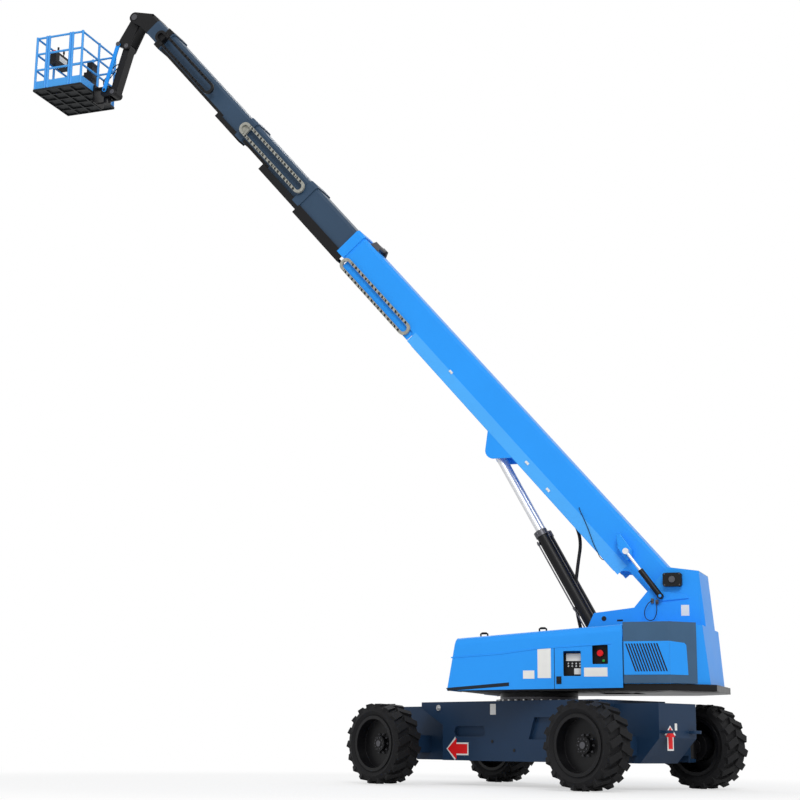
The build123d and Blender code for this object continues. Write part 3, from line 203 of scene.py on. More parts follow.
def surface(
    name,
    colour,
    roughness,
    cloud,
    cloud_size=1.6,
    grain=120,
    grain_depth=0.0006,
    metal=0,
    edge=0.0,
    shine=0.22,
):
    """A finish whose tone drifts in soft clouds, with a fine grain, and paler along its edges: partly edge
    wear, partly a painted highlight.
    """
    material = bpy.data.materials.new(name)
    material.use_nodes = True
    tree = material.node_tree
    shader = tree.nodes["Principled BSDF"]
    shader.inputs["Metallic"].default_value = metal
    shader.inputs["Specular IOR Level"].default_value = shine
    places = tree.nodes.new("ShaderNodeTexCoord")
    clouds = tree.nodes.new("ShaderNodeTexNoise")
    clouds.inputs["Scale"].default_value = cloud_size
    clouds.inputs["Detail"].default_value = CLOUD_DETAIL
    tree.links.new(places.outputs["Object"], clouds.inputs["Vector"])
    tone = tree.nodes.new("ShaderNodeMix")
    tone.data_type = "RGBA"
    darker = [channel * (1 - cloud) for channel in colour]
    lighter = [min(1, channel * (1 + cloud)) for channel in colour]
    tone.inputs[MIX_FIRST].default_value = (*darker, 1)
    tone.inputs[MIX_SECOND].default_value = (*lighter, 1)
    tree.links.new(clouds.outputs["Fac"], tone.inputs[0])
    gloss = tree.nodes.new("ShaderNodeMapRange")
    gloss.inputs["To Min"].default_value = max(ROUGHNESS_LEAST, roughness - ROUGHNESS_DRIFT)
    gloss.inputs["To Max"].default_value = min(1, roughness + ROUGHNESS_DRIFT)
    tree.links.new(clouds.outputs["Fac"], gloss.inputs["Value"])
    tree.links.new(gloss.outputs[0], shader.inputs["Roughness"])
    grains = tree.nodes.new("ShaderNodeTexNoise")
    grains.inputs["Scale"].default_value = grain
    tree.links.new(places.outputs["Object"], grains.inputs["Vector"])
    bump = tree.nodes.new("ShaderNodeBump")
    bump.inputs["Strength"].default_value = GRAIN_STRENGTH
    bump.inputs["Distance"].default_value = grain_depth
    tree.links.new(grains.outputs["Fac"], bump.inputs["Height"])
    tree.links.new(bump.outputs["Normal"], shader.inputs["Normal"])
    shown_tone = tone
    if edge:
        rounded = tree.nodes.new("ShaderNodeBevel")
        rounded.samples = EDGE_SAMPLES
        rounded.inputs["Radius"].default_value = edge
        tree.links.new(rounded.outputs["Normal"], bump.inputs["Normal"])
        flat = tree.nodes.new("ShaderNodeNewGeometry")
        turn = tree.nodes.new("ShaderNodeVectorMath")
        turn.operation = "DOT_PRODUCT"
        tree.links.new(rounded.outputs["Normal"], turn.inputs[0])
        tree.links.new(flat.outputs["Normal"], turn.inputs[1])
        # Paler edges: partly wear, partly a painted highlight where light catches the edge
        rubbed_and_lit = tree.nodes.new("ShaderNodeMapRange")
        rubbed_and_lit.inputs["From Min"].default_value = WEAR_AND_HIGHLIGHT_START
        rubbed_and_lit.inputs["From Max"].default_value = WEAR_AND_HIGHLIGHT_FULL
        rubbed_and_lit.inputs["To Max"].default_value = WEAR_AND_HIGHLIGHT_SHARE
        tree.links.new(turn.outputs["Value"], rubbed_and_lit.inputs["Value"])
        worn_and_lit = tree.nodes.new("ShaderNodeMix")
        worn_and_lit.data_type = "RGBA"
        bare_and_lit = [min(1, channel * WEAR_AND_HIGHLIGHT_GAIN + WEAR_AND_HIGHLIGHT_LIFT) for channel in colour]
        worn_and_lit.inputs[MIX_SECOND].default_value = (*bare_and_lit, 1)
        tree.links.new(rubbed_and_lit.outputs[0], worn_and_lit.inputs[0])
        tree.links.new(tone.outputs[MIX_RESULT], worn_and_lit.inputs[MIX_FIRST])
        shown_tone = worn_and_lit
    tree.links.new(shown_tone.outputs[MIX_RESULT], shader.inputs["Base Color"])
    return material


hose_rubber = surface("hose_rubber", RUBBER_COLOUR, 0.5, cloud=0.3, cloud_size=14, grain=400)


def hose(name, route, diameter):
    """A rubber hose along one smooth spline guided by its route, and measured."""
    line = bpy.data.curves.new(name, "CURVE")
    line.dimensions = "3D"
    line.resolution_u = HOSE_STEPS
    spline = line.splines.new("NURBS")
    spline.points.add(len(route) - 1)
    for point, place in zip(spline.points, route):
        point.co = (*place, 1)
    spline.order_u = 3
    spline.use_endpoint_u = True
    line_object = bpy.data.objects.new(name + "_line", line)
    path = [vert.co.copy() for vert in bpy.data.meshes.new_from_object(line_object).vertices]
    line.bevel_depth = diameter / 2
    line.bevel_resolution = HOSE_ROUNDING
    line.use_fill_caps = True
    tube = bpy.data.meshes.new_from_object(line_object)
    tube.name = name
    bpy.data.objects.remove(line_object)
    tube.materials.clear()
    tube.materials.append(hose_rubber)
    tube.shade_smooth()
    piece = bpy.data.objects.new(name, tube)
    scene.collection.objects.link(piece)
    return piece


BOOM_HOSE_DIAMETER = 0.05
BOOM_HOSE = (
    (-0.84, 0, 1.392),
    (-0.83, 0, 1.56),
    (-0.70, 0, 1.95),
    (-0.58, 0, 2.40),
    (-0.55, 0, 2.75),
    (-0.60, 0, 3.15),
    (-0.66, 0, 3.50),
    (-0.55, 0, 3.80),
    (-0.40, 0, 4.04),
    (-0.338, 0, 4.22),
)
boom_hose_route = [turret_frame @ Vector(place) for place in BOOM_HOSE]
boom_hose = hose("boom_hose", boom_hose_route, BOOM_HOSE_DIAMETER)
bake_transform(boom_hose)

boom_foot = Vector(joints["boom_lift"]["pos_m"])
boom_along = Vector(joints["extend_fly"]["axis"])
boom_turn = Matrix.Rotation(-math.atan2(boom_along.z, boom_along.x), 4, "Y")
boom_frame = Matrix.Translation(boom_foot) @ boom_turn
SENSOR_LEAD_DIAMETER = 0.0105
SENSOR_LEAD = (
    (1.80, 0.279, -0.29),
    (1.79, 0.294, -0.30),
    (1.62, 0.292, -0.35),
    (1.45, 0.292, -0.41),
    (1.26, 0.292, -0.49),
    (1.12, 0.292, -0.53),
    (1.06, 0.276, -0.552),
    (1.00, 0.255, -0.548),
    (0.98, 0.247, -0.50),
    (0.97, 0.247, -0.42),
)
sensor_lead_route = [boom_frame @ Vector(place) for place in SENSOR_LEAD]
sensor_lead = hose("sensor_lead", sensor_lead_route, SENSOR_LEAD_DIAMETER)
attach(sensor_lead, "boom")

LEVEL_LOOP_DIAMETER = 0.012
LEVEL_LOOP = (
    (-1.755, 0.398, 2.555),
    (-1.755, 0.455, 2.555),
    (-1.710, 0.500, 2.520),
    (-1.650, 0.500, 2.410),
    (-1.670, 0.500, 2.290),
    (-1.780, 0.500, 2.270),
    (-1.830, 0.500, 2.380),
    (-1.830, 0.495, 2.500),
    (-1.820, 0.455, 2.540),
    (-1.820, 0.398, 2.540),
)
level_loop_route = [turret_frame @ Vector(place) for place in LEVEL_LOOP]
level_loop = hose("level_loop", level_loop_route, LEVEL_LOOP_DIAMETER)
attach(level_loop, "turret")

JIB_HOSE_DIAMETER = 0.018
JIB_HOSE_DOWN = 0.30
JIB_FACE = 0.062
SUPPORT_FACE = 0.115
SUPPORT_PORT_UP = 0.10
# Hose columns: name, side
JIB_HOSES = (("jib_hose_left", 0.045), ("jib_hose_right", -0.045))
jib_pin = Vector(joints["jib_lift"]["pos_m"])
support_pin = Vector(joints["support_level"]["pos_m"])
jib_down = (support_pin - jib_pin).normalized()
for name, side in JIB_HOSES:
    start = jib_pin + jib_down * JIB_HOSE_DOWN + Vector((JIB_FACE, side, 0))
    end = support_pin + Vector((SUPPORT_FACE, side, SUPPORT_PORT_UP))
    route = (
        start,
        start + Vector((0.10, 0, 0)),
        start + Vector((0.19, 0, -0.12)),
        (start + end) / 2 + Vector((0.17, 0, 0)),
        end + Vector((0.13, 0, 0.16)),
        end + Vector((0.09, 0, 0.02)),
        end,
    )
    jib_hose = hose(name, route, JIB_HOSE_DIAMETER)
    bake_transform(jib_hose)

# Chassis: a welded box of folded plate on two square axle beams, in satin slate paint. Blank labels and
# two red direction arrows are stuck on its plates, and zinc ring plates and rubber plugs sit in them.
SLATE_COLOUR = (0.011, 0.034, 0.080)
LABEL_COLOUR = (0.82, 0.82, 0.80)
ARROW_RED = (0.80, 0.012, 0.016)
ZINC_COLOUR = (0.55, 0.56, 0.57)
# How far the side plate and the rear plate stand from the slew axis
SIDE_FACE = 0.72
REAR_FACE = 2.45
# How deep a stuck film and a fitted piece start in the face behind them, and how far a film stands out
FILM_SINK = 0.001
FIT_SINK = 0.002
FILM_RISE = 0.002
# Faces that meet at more than this, in radians, have the edge between them eased
SHARP_ANGLE = 0.6
wheel_axis = Vector(joints["wheel_spin_front_left"]["axis"])
chassis_turn = Matrix.Rotation(math.atan2(-wheel_axis.x, wheel_axis.y), 4, "Z")
chassis_frame = turret_frame @ chassis_turn
rear_frame = chassis_frame @ Matrix.Rotation(math.radians(90), 4, "Z")
slate_paint = surface("slate_paint", SLATE_COLOUR, 0.42, cloud=0.18, edge=0.008)
label_film = surface("label_film", LABEL_COLOUR, 0.45, cloud=0.05, cloud_size=9)
red_film = surface("red_film", ARROW_RED, 0.4, cloud=0.06, cloud_size=9)
zinc = surface("zinc_plate", ZINC_COLOUR, 0.35, cloud=0.15, cloud_size=20, metal=1)


def dress(material, *names):
    """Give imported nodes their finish."""
    for name in names:
        nodes[name].data.materials.clear()
        nodes[name].data.materials.append(material)


def on_face(face, rise, sink=FIT_SINK, hand=1):
    """Where a piece on a face starts, a little inside it, and ends; a hand of -1 is the mirrored face."""
    return hand * (face - sink), hand * (face + rise)


def slab(mesh, place, outline, back, front):
    """Add a flat piece to a mesh: an outline of X and Z in a frame, thickened along its Y."""
    face = mesh.faces.new([mesh.verts.new(place @ Vector((x, back, z))) for x, z in outline])
    grown = bmesh.ops.extrude_face_region(mesh, geom=[face])
    moved = [part for part in grown["geom"] if isinstance(part, bmesh.types.BMVert)]
    bmesh.ops.translate(mesh, verts=moved, vec=place.to_3x3() @ Vector((0, front - back, 0)))


def rectangle(left, low, right, high):
    """Corners of an upright rectangle."""
    return ((left, low), (right, low), (right, high), (left, high))


def cylinder(mesh, place, radius, back, front, segments=24):
    """Add a round piece to a mesh, standing along a frame's Y."""
    stand = Matrix.Translation((0, (back + front) / 2, 0)) @ Matrix.Rotation(math.radians(90), 4, "X")
    bmesh.ops.create_cone(
        mesh,
        cap_ends=True,
        segments=segments,
        radius1=radius,
        radius2=radius,
        depth=abs(front - back),
        matrix=place @ stand,
    )


def finished(mesh, name, material, body, edge=0.0):
    """Close a mesh into a named piece at the origin, with its edges eased, riding on a body."""
    bmesh.ops.recalc_face_normals(mesh, faces=mesh.faces)
    if edge:
        sharp = [part for part in mesh.edges if part.is_manifold and part.calc_face_angle(0) > SHARP_ANGLE]
        bmesh.ops.bevel(
            mesh,
            geom=sharp,
            offset=edge,
            affect="EDGES",
            segments=2,
            profile=0.5,
            material=-1,
            clamp_overlap=True,
        )
    data = bpy.data.meshes.new(name)
    mesh.to_mesh(data)
    mesh.free()
    data.materials.append(material)
    piece = bpy.data.objects.new(name, data)
    scene.collection.objects.link(piece)
    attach(piece, body)


dress(slate_paint, "chassis_frame", "front_axle", "rear_axle")
# An arrow's outline, pointing along +X, as shares of its half length and half height
ARROW = ((1, 0), (0.1, 1), (0.1, 0.45), (-1, 0.45), (-1, -0.45), (0.1, -0.45), (0.1, -1))
# Arrow columns: name, frame, middle X and Z, face, half length, half height, turn in degrees
ARROWS = (
    ("side_arrow", chassis_frame, 0.945, 0.513, SIDE_FACE, 0.20, 0.15, 0),
    ("rear_arrow", rear_frame, 0.17, 0.68, REAR_FACE, 0.14, 0.10, 90),
)
# Layer columns: name, film, border round the arrow, rise
ARROW_LAYERS = (("outline", label_film, 0.022, 0.002), ("red", red_film, 0, 0.004))
for name, place, x, z, face, half_length, half_height, turn in ARROWS:
    aim = place @ Matrix.Translation((x, 0, z)) @ Matrix.Rotation(math.radians(-turn), 4, "Y")
    for layer, film, border, rise in ARROW_LAYERS:
        outline = []
        for along, aside in ARROW:
            tip = along * half_length + math.copysign(border, along)
            flank = aside * half_height + (math.copysign(border, aside) if aside else 0)
            outline.append((tip, flank))
        mesh = bmesh.new()
        slab(mesh, aim, outline, *on_face(face, rise, FILM_SINK))
        finished(mesh, f"{name}_{layer}", film, "chassis")
SIDE_LABEL = rectangle(0.18, 0.99, 0.29, 1.14)
REAR_LABEL = rectangle(0.02, 0.78, 0.07, 0.87)
mesh = bmesh.new()
slab(mesh, chassis_frame, SIDE_LABEL, *on_face(SIDE_FACE, FILM_RISE, FILM_SINK))
slab(mesh, rear_frame, REAR_LABEL, *on_face(REAR_FACE, FILM_RISE, FILM_SINK))
finished(mesh, "chassis_labels", label_film, "chassis")
RING_PLATES = ((1.335, 1.094), (-1.55, 1.06))
# Ring plate columns, for its disc and its boss: radius, rise, sink, sides
RING_PARTS = ((0.045, 0.012, 0.002, 32), (0.022, 0.03, -0.01, 24))
mesh = bmesh.new()
for x, z in RING_PLATES:
    ring_place = chassis_frame @ Matrix.Translation((x, 0, z))
    for radius, rise, sink, sides in RING_PARTS:
        cylinder(mesh, ring_place, radius, *on_face(SIDE_FACE, rise, sink), sides)
finished(mesh, "side_ring_plates", zinc, "chassis", edge=0.003)
PLUGS = ((-0.171, 0.50), (0.25, 0.62), (-1.05, 0.50))
PLUG_RADIUS = 0.022
PLUG_RISE = 0.008
mesh = bmesh.new()
for x, z in PLUGS:
    plug_place = chassis_frame @ Matrix.Translation((x, 0, z))
    cylinder(mesh, plug_place, PLUG_RADIUS, *on_face(SIDE_FACE, PLUG_RISE), segments=20)
finished(mesh, "side_plugs", hose_rubber, "chassis", edge=0.003)

# Slew ring: a turned steel bearing ring between the chassis and the turret. A circle of hexagon screws
# close outside it holds it down on the chassis.
BEARING_COLOUR = (0.10, 0.10, 0.11)
SCREW_COUNT = 30
SCREW_RADIUS = 0.02
SCREW_HEIGHT = 0.03
SCREW_OUTSIDE = 0.045
SCREW_UP = 0.013
bearing_steel = surface(
    "bearing_steel", BEARING_COLOUR, 0.38, cloud=0.2, cloud_size=12, metal=0.8, edge=0.004
)
dress(bearing_steel, "slew_ring")
ring_low, ring_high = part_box("slew_ring")
screw_circle = (ring_high.x - ring_low.x) / 2 + SCREW_OUTSIDE
mesh = bmesh.new()
for step in range(SCREW_COUNT):
    turn = Matrix.Rotation(step * math.tau / SCREW_COUNT, 4, "Z")
    bmesh.ops.create_cone(
        mesh,
        cap_ends=True,
        segments=6,
        radius1=SCREW_RADIUS,
        radius2=SCREW_RADIUS,
        depth=SCREW_HEIGHT,
        matrix=turret_frame @ turn @ Matrix.Translation((screw_circle, 0, ring_low.z + SCREW_UP)),
    )
finished(mesh, "slew_screws", zinc, "chassis", edge=0.003)

# Wheels: foam-filled rubber tyres with deep lugs on black steel rims. Ten nuts on studs hold each rim to
# its hub, and a turned gear cover with small screws and a cap stands in the middle.
TYRE_COLOUR = (0.007, 0.007, 0.008)
BLACK_COLOUR = (0.005, 0.005, 0.006)
NUT_COUNT = 10
HUB_FACE = 0.024
COVER_FACE = 0.095
HUB_CAP_RADIUS = 0.045
HUB_CAP_RISE = 0.014
# Fastener columns, for the nuts, studs and cover screws: circle's radius, radius, face, rise, sink, sides
WHEEL_FASTENERS = (
    (0.135, 0.017, HUB_FACE, 0.022, 0.002, 6),
    (0.135, 0.009, HUB_FACE, 0.038, -0.02, 12),
    (0.082, 0.009, COVER_FACE, 0.010, 0.002, 6),
)
tyre_rubber = surface(
    "tyre_rubber", TYRE_COLOUR, 0.72, cloud=0.35, cloud_size=7, grain=160, grain_depth=0.002, edge=0.006
)
black_paint = surface("black_paint", BLACK_COLOUR, 0.36, cloud=0.25, cloud_size=5, edge=0.006)
for corner in ("front_left", "front_right", "rear_left", "rear_right"):
    dress(tyre_rubber, f"tyre_{corner}")
    dress(black_paint, f"rim_{corner}", f"knuckle_{corner}")
    hub_place = Matrix.Translation(Vector(joints[f"wheel_spin_{corner}"]["pos_m"]))
    facing = Matrix.Rotation(0 if corner.endswith("left") else math.pi, 4, "Z")
    wheel_frame = hub_place @ chassis_turn @ facing
    mesh = bmesh.new()
    for step in range(NUT_COUNT):
        turn = Matrix.Rotation(step * math.tau / NUT_COUNT, 4, "Y")
        for circle, radius, face, rise, sink, sides in WHEEL_FASTENERS:
            place = wheel_frame @ turn @ Matrix.Translation((circle, 0, 0))
            cylinder(mesh, place, radius, *on_face(face, rise, sink), sides)
    cylinder(mesh, wheel_frame, HUB_CAP_RADIUS, *on_face(COVER_FACE, HUB_CAP_RISE), segments=32)
    finished(mesh, f"wheel_nuts_{corner}", bearing_steel, f"wheel_{corner}", edge=0.002)

# Turret: a black deck under two tall tower plates and a cast counterweight in azure blue, with the engine
# and tanks on the deck. Each tower plate has a blank label, a cable hole and a slot, and on the left one
# are two hose ports and the welded foot plate of the levelling cylinder.
BLUE_COLOUR = (0.022, 0.325, 0.96)
PLASTIC_COLOUR = (0.006, 0.006, 0.007)
IRON_COLOUR = (0.09, 0.09, 0.10)
SIDES = (("left", 1), ("right", -1))
TOWER_FACE = 0.40
TOWER_LABEL = rectangle(-2.262, 2.343, -2.15, 2.492)
TOWER_HOLE = Matrix.Translation((-1.06, 0, 2.324))
TOWER_HOLE_RADIUS = 0.035
TOWER_HOLE_RISE = 0.004
TOWER_SLOT = rectangle(-1.33, 2.283, -1.246, 2.307)
TOWER_SLOT_RISE = 0.003
HOSE_PORTS = (rectangle(-1.735, 2.52, -1.775, 2.59), rectangle(-1.80, 2.505, -1.84, 2.57))
HOSE_PORT_RISE = 0.025
FOOT_LUG = ((-1.80, 2.60), (-1.83, 2.68), (-1.92, 2.69), (-2.22, 2.63), (-2.26, 2.58), (-1.88, 2.55))
FOOT_LUG_RISE = 0.018
blue_paint = surface("blue_paint", BLUE_COLOUR, 0.42, cloud=0.05, cloud_size=1.1, edge=0.008)
dress(blue_paint, "tower", "counterweight")
dress(black_paint, "turret_deck")
black_plastic = surface(
    "black_plastic", PLASTIC_COLOUR, 0.48, cloud=0.2, cloud_size=8, grain=300, edge=0.004
)
dress(black_plastic, "angle_sensor", "fluid_tanks")
cast_iron = surface(
    "cast_iron", IRON_COLOUR, 0.6, cloud=0.3, cloud_size=9, grain=90, grain_depth=0.002, edge=0.006
)
dress(cast_iron, "engine_block")
for side, hand in SIDES:
    mesh = bmesh.new()
    slab(mesh, turret_frame, TOWER_LABEL, *on_face(TOWER_FACE, FILM_RISE, FILM_SINK, hand))
    finished(mesh, f"tower_label_{side}", label_film, "turret")
    mesh = bmesh.new()
    hole_ends = on_face(TOWER_FACE, TOWER_HOLE_RISE, hand=hand)
    cylinder(mesh, turret_frame @ TOWER_HOLE, TOWER_HOLE_RADIUS, *hole_ends)
    slab(mesh, turret_frame, TOWER_SLOT, *on_face(TOWER_FACE, TOWER_SLOT_RISE, FILM_SINK, hand))
    finished(mesh, f"tower_holes_{side}", hose_rubber, "turret", edge=0.001)
mesh = bmesh.new()
for outline in HOSE_PORTS:
    slab(mesh, turret_frame, outline, *on_face(TOWER_FACE, HOSE_PORT_RISE))
finished(mesh, "tower_hose_ports", bearing_steel, "turret", edge=0.004)
mesh = bmesh.new()
slab(mesh, turret_frame, FOOT_LUG, *on_face(TOWER_FACE, FOOT_LUG_RISE))
finished(mesh, "level_foot_plate", blue_paint, "turret", edge=0.004)

# Angle sensor guard: a black moulded cover on the tower's top. A round cable gland stands in its middle,
# and four hexagon screws near its corners hold it.
CABLE_GLAND_RADIUS = 0.045
CABLE_GLAND_RISE = 0.02
CABLE_GLAND_SINK = 0.004
GUARD_SCREW_RADIUS = 0.011
GUARD_SCREW_RISE = 0.008
GUARD_SCREW_SHARE = 0.8
sensor_low, sensor_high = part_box("angle_sensor")
sensor_middle = (sensor_low + sensor_high) / 2
sensor_half = (sensor_high - sensor_low) / 2
sensor_place = Matrix.Translation((sensor_middle.x, 0, sensor_middle.z))
mesh = bmesh.new()
gland_ends = on_face(sensor_high.y, CABLE_GLAND_RISE, CABLE_GLAND_SINK)
cylinder(mesh, sensor_place, CABLE_GLAND_RADIUS, *gland_ends, segments=32)
for z_share in (GUARD_SCREW_SHARE, -GUARD_SCREW_SHARE):
    for x_share in (GUARD_SCREW_SHARE, -GUARD_SCREW_SHARE):
        corner = Matrix.Translation((x_share * sensor_half.x, 0, z_share * sensor_half.z))
        screw_ends = on_face(sensor_high.y, GUARD_SCREW_RISE)
        cylinder(mesh, sensor_place @ corner, GUARD_SCREW_RADIUS, *screw_ends, segments=6)
finished(mesh, "sensor_screws", bearing_steel, "turret", edge=0.002)

# Hoods: moulded blue covers over the engine and the tanks, hinged along the middle. Each has a pressed
# crease, a panel seam, a dark band of painted shade in the groove along its sill, a latch and blank labels.
SEAM_AND_SHADE_COLOUR = (0.010, 0.016, 0.026)
HOOD_FACE = 1.20
CREASE = ((0.946, 1.758), (0.261, 1.801), (-0.296, 1.868), (-1.328, 1.922))
CREASE_HALF = 0.009
CREASE_RISE = 0.007
SEAM = rectangle(-0.542, 1.316, -0.534, 1.873)
SEAM_RISE = 0.001
# The sill band is painted shade: a dark film where the recessed groove under the nose lies in shadow
SILL_SHADE = ((1.018, 1.34), (0.106, 1.413), (0.106, 1.364), (0.989, 1.299))
HOOD_LABELS = (
    rectangle(-0.489, 1.469, -0.302, 1.870),
    rectangle(-0.255, 1.462, -0.095, 1.572),
    rectangle(-1.272, 1.486, -0.95, 1.605),
)
LATCH_PLACE = Matrix.Translation((-0.60, 0, 1.44))
LATCH_PLATE = rectangle(-0.035, -0.05, 0.035, 0.05)
LATCH_PLATE_RISE = 0.012
LATCH_KNOB_RADIUS = 0.022
LATCH_KNOB_RISE = 0.022
LATCH_KNOB_SINK = -0.01
# Dark for the panel seams and grille slits, and as painted shade for the sill groove
seam_and_shade_black = surface("seam_and_shade_black", SEAM_AND_SHADE_COLOUR, 0.6, cloud=0.2, cloud_size=8)
dress(blue_paint, "hood_left", "hood_right")
crease_top = [(x, z + CREASE_HALF) for x, z in CREASE]
crease_foot = [(x, z - CREASE_HALF) for x, z in reversed(CREASE)]
latch = turret_frame @ LATCH_PLACE
for side, hand in SIDES:
    body = f"hood_{side}"
    film_ends = on_face(HOOD_FACE, FILM_RISE, FILM_SINK, hand)
    mesh = bmesh.new()
    slab(mesh, turret_frame, crease_top + crease_foot, *on_face(HOOD_FACE, CREASE_RISE, hand=hand))
    finished(mesh, f"hood_crease_{side}", blue_paint, body, edge=0.004)
    mesh = bmesh.new()
    slab(mesh, turret_frame, SEAM, *on_face(HOOD_FACE, SEAM_RISE, FILM_SINK, hand))
    slab(mesh, turret_frame, SILL_SHADE, *film_ends)
    finished(mesh, f"hood_seams_and_shade_{side}", seam_and_shade_black, body)
    mesh = bmesh.new()
    for outline in HOOD_LABELS:
        slab(mesh, turret_frame, outline, *film_ends)
    finished(mesh, f"hood_labels_{side}", label_film, body)
    mesh = bmesh.new()
    knob_ends = on_face(HOOD_FACE, LATCH_KNOB_RISE, LATCH_KNOB_SINK, hand)
    slab(mesh, latch, LATCH_PLATE, *on_face(HOOD_FACE, LATCH_PLATE_RISE, hand=hand))
    cylinder(mesh, latch, LATCH_KNOB_RADIUS, *knob_ends, segments=24)
    finished(mesh, f"hood_latch_{side}", black_plastic, body, edge=0.004)

# Roof hooks: two bent bars of black steel welded on the left hood's roof. The roof rises from its nose
# towards the rear, and each hook's feet go a little way into it.
HOOK = (
    (-0.06, 0), (-0.06, 0.05), (-0.03, 0.07), (0.03, 0.07), (0.06, 0.05),
    (0.06, 0), (0.04, 0), (0.04, 0.04), (-0.04, 0.04), (-0.04, 0),
)
HOOK_PLACES = (0.52, -0.33)
HOOK_SINK = 0.008
HOOK_ENDS = (0.99, 1.01)
ROOF_NOSE = 0.875
ROOF_NOSE_Z = 2.03
ROOF_RISE = 0.068
mesh = bmesh.new()
for x in HOOK_PLACES:
    roof_z = ROOF_NOSE_Z + (ROOF_NOSE - x) * ROOF_RISE
    slab(mesh, turret_frame @ Matrix.Translation((x, 0, roof_z - HOOK_SINK)), HOOK, *HOOK_ENDS)
finished(mesh, "hood_hooks", black_paint, "hood_left", edge=0.004)

# Ground control box: a black panel behind the hood's openings, with two blank plates, eight switches, a
# red stop button on a plate of its own and a green lamp.
GREEN_COLOUR = (0.02, 0.42, 0.06)
CONTROL_PLATES = (rectangle(-0.895, 1.70, -0.68, 1.80), rectangle(-0.895, 1.52, -0.79, 1.60))
CONTROL_PLATE_RISE = 0.004
SWITCH_COLUMNS = 4
SWITCH_ROWS = 2
SWITCH_START = -0.875
SWITCH_FOOT = 1.63
COLUMN_PITCH = 0.055
ROW_PITCH = 0.035
# Columns of the switches' collar and lever, and of the button's stem and head: radius, rise, sink, sides
SWITCH_PARTS = ((0.011, 0.010, 0.002, 20), (0.004, 0.028, -0.008, 12))
STOP_PARTS = ((0.026, 0.02, 0.014, 32), (0.045, 0.045, -0.015, 32))
STOP_PLACE = Matrix.Translation((-1.16, 0, 1.80))
STOP_PLATE = rectangle(-1.30, 1.63, -1.04, 1.93)
STOP_PLATE_RISE = -0.012
STOP_PLATE_SINK = 0.03
READY_PLACE = Matrix.Translation((-1.20, 0, 1.70))
READY_RADIUS = 0.018
READY_RISE = 0.012
READY_SINK = 0.014
dress(black_plastic, "ground_controls")
panel_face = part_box("ground_controls")[1].y
green_lens = surface("green_lens", GREEN_COLOUR, 0.25, cloud=0.1, cloud_size=20)
mesh = bmesh.new()
for outline in CONTROL_PLATES:
    slab(mesh, turret_frame, outline, *on_face(panel_face, CONTROL_PLATE_RISE, FILM_SINK))
finished(mesh, "control_plates", label_film, "turret", edge=0.001)
mesh = bmesh.new()
for column in range(SWITCH_COLUMNS):
    for row in range(SWITCH_ROWS):
        switch_x = SWITCH_START + COLUMN_PITCH * column
        switch = turret_frame @ Matrix.Translation((switch_x, 0, SWITCH_FOOT + ROW_PITCH * row))
        for radius, rise, sink, sides in SWITCH_PARTS:
            cylinder(mesh, switch, radius, *on_face(panel_face, rise, sink), sides)
finished(mesh, "control_switches", zinc, "turret", edge=0.001)
mesh = bmesh.new()
slab(mesh, turret_frame, STOP_PLATE, *on_face(panel_face, STOP_PLATE_RISE, STOP_PLATE_SINK))
finished(mesh, "stop_plate", black_plastic, "turret", edge=0.003)
mesh = bmesh.new()
for radius, rise, sink, sides in STOP_PARTS:
    cylinder(mesh, turret_frame @ STOP_PLACE, radius, *on_face(panel_face, rise, sink), sides)
finished(mesh, "stop_button", red_film, "turret", edge=0.008)
mesh = bmesh.new()
ready_ends = on_face(panel_face, READY_RISE, READY_SINK)
cylinder(mesh, turret_frame @ READY_PLACE, READY_RADIUS, *ready_ends, segments=24)
finished(mesh, "ready_lamp", green_lens, "turret", edge=0.006)

# Side grilles: folded grey-blue plates round the turret's rear corners. A thin blue plate is riveted on
# each, over the flat face and round the bend, with a row of slanted dark slits along the flat part.
GRILLE_COLOUR = (0.050, 0.112, 0.200)
BEND_X = -2.116
BEND_ANGLE = math.radians(44.7)
FLAT_INSERT = rectangle(BEND_X, 1.505, -1.497, 1.95)
BENT_INSERT = ((0, 1.505), (0, 1.95), (-0.24, 1.93), (-0.27, 1.90), (-0.29, 1.505))
INSERT_RISE = 0.004
SLIT_COUNT = 12
SLIT_START = -1.52
SLIT_PITCH = 0.038
SLIT_WIDTH = 0.020
SLIT_LEAN = 0.13
SLIT_LOW = 1.55
SLIT_HIGH = 1.92
SLIT_RISE = 0.006
SLIT_SINK = -0.003
grille_paint = surface("grille_paint", GRILLE_COLOUR, 0.42, cloud=0.12, cloud_size=3, edge=0.006)
dress(grille_paint, "grille_left", "grille_right")
for side, hand in SIDES:
    grille_low, grille_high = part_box(f"grille_{side}")
    face = grille_high.y if hand > 0 else -grille_low.y
    mesh = bmesh.new()
    slab(mesh, turret_frame, FLAT_INSERT, *on_face(face, INSERT_RISE, hand=hand))
    bend_turn = Matrix.Rotation(hand * BEND_ANGLE, 4, "Z")
    bend = turret_frame @ Matrix.Translation((BEND_X, hand * face, 0)) @ bend_turn
    slab(mesh, bend, BENT_INSERT, *on_face(0, INSERT_RISE, hand=hand))
    finished(mesh, f"grille_insert_{side}", blue_paint, "turret", edge=0.002)
    mesh = bmesh.new()
    for step in range(SLIT_COUNT):
        front_x = SLIT_START - SLIT_PITCH * step
        back_x = front_x - SLIT_WIDTH
        outline = (
            (front_x, SLIT_HIGH),
            (back_x, SLIT_HIGH),
            (back_x - SLIT_LEAN, SLIT_LOW),
            (front_x - SLIT_LEAN, SLIT_LOW),
        )
        slab(mesh, turret_frame, outline, *on_face(face, SLIT_RISE, SLIT_SINK, hand))
    finished(mesh, f"grille_slits_{side}", seam_and_shade_black, "turret")

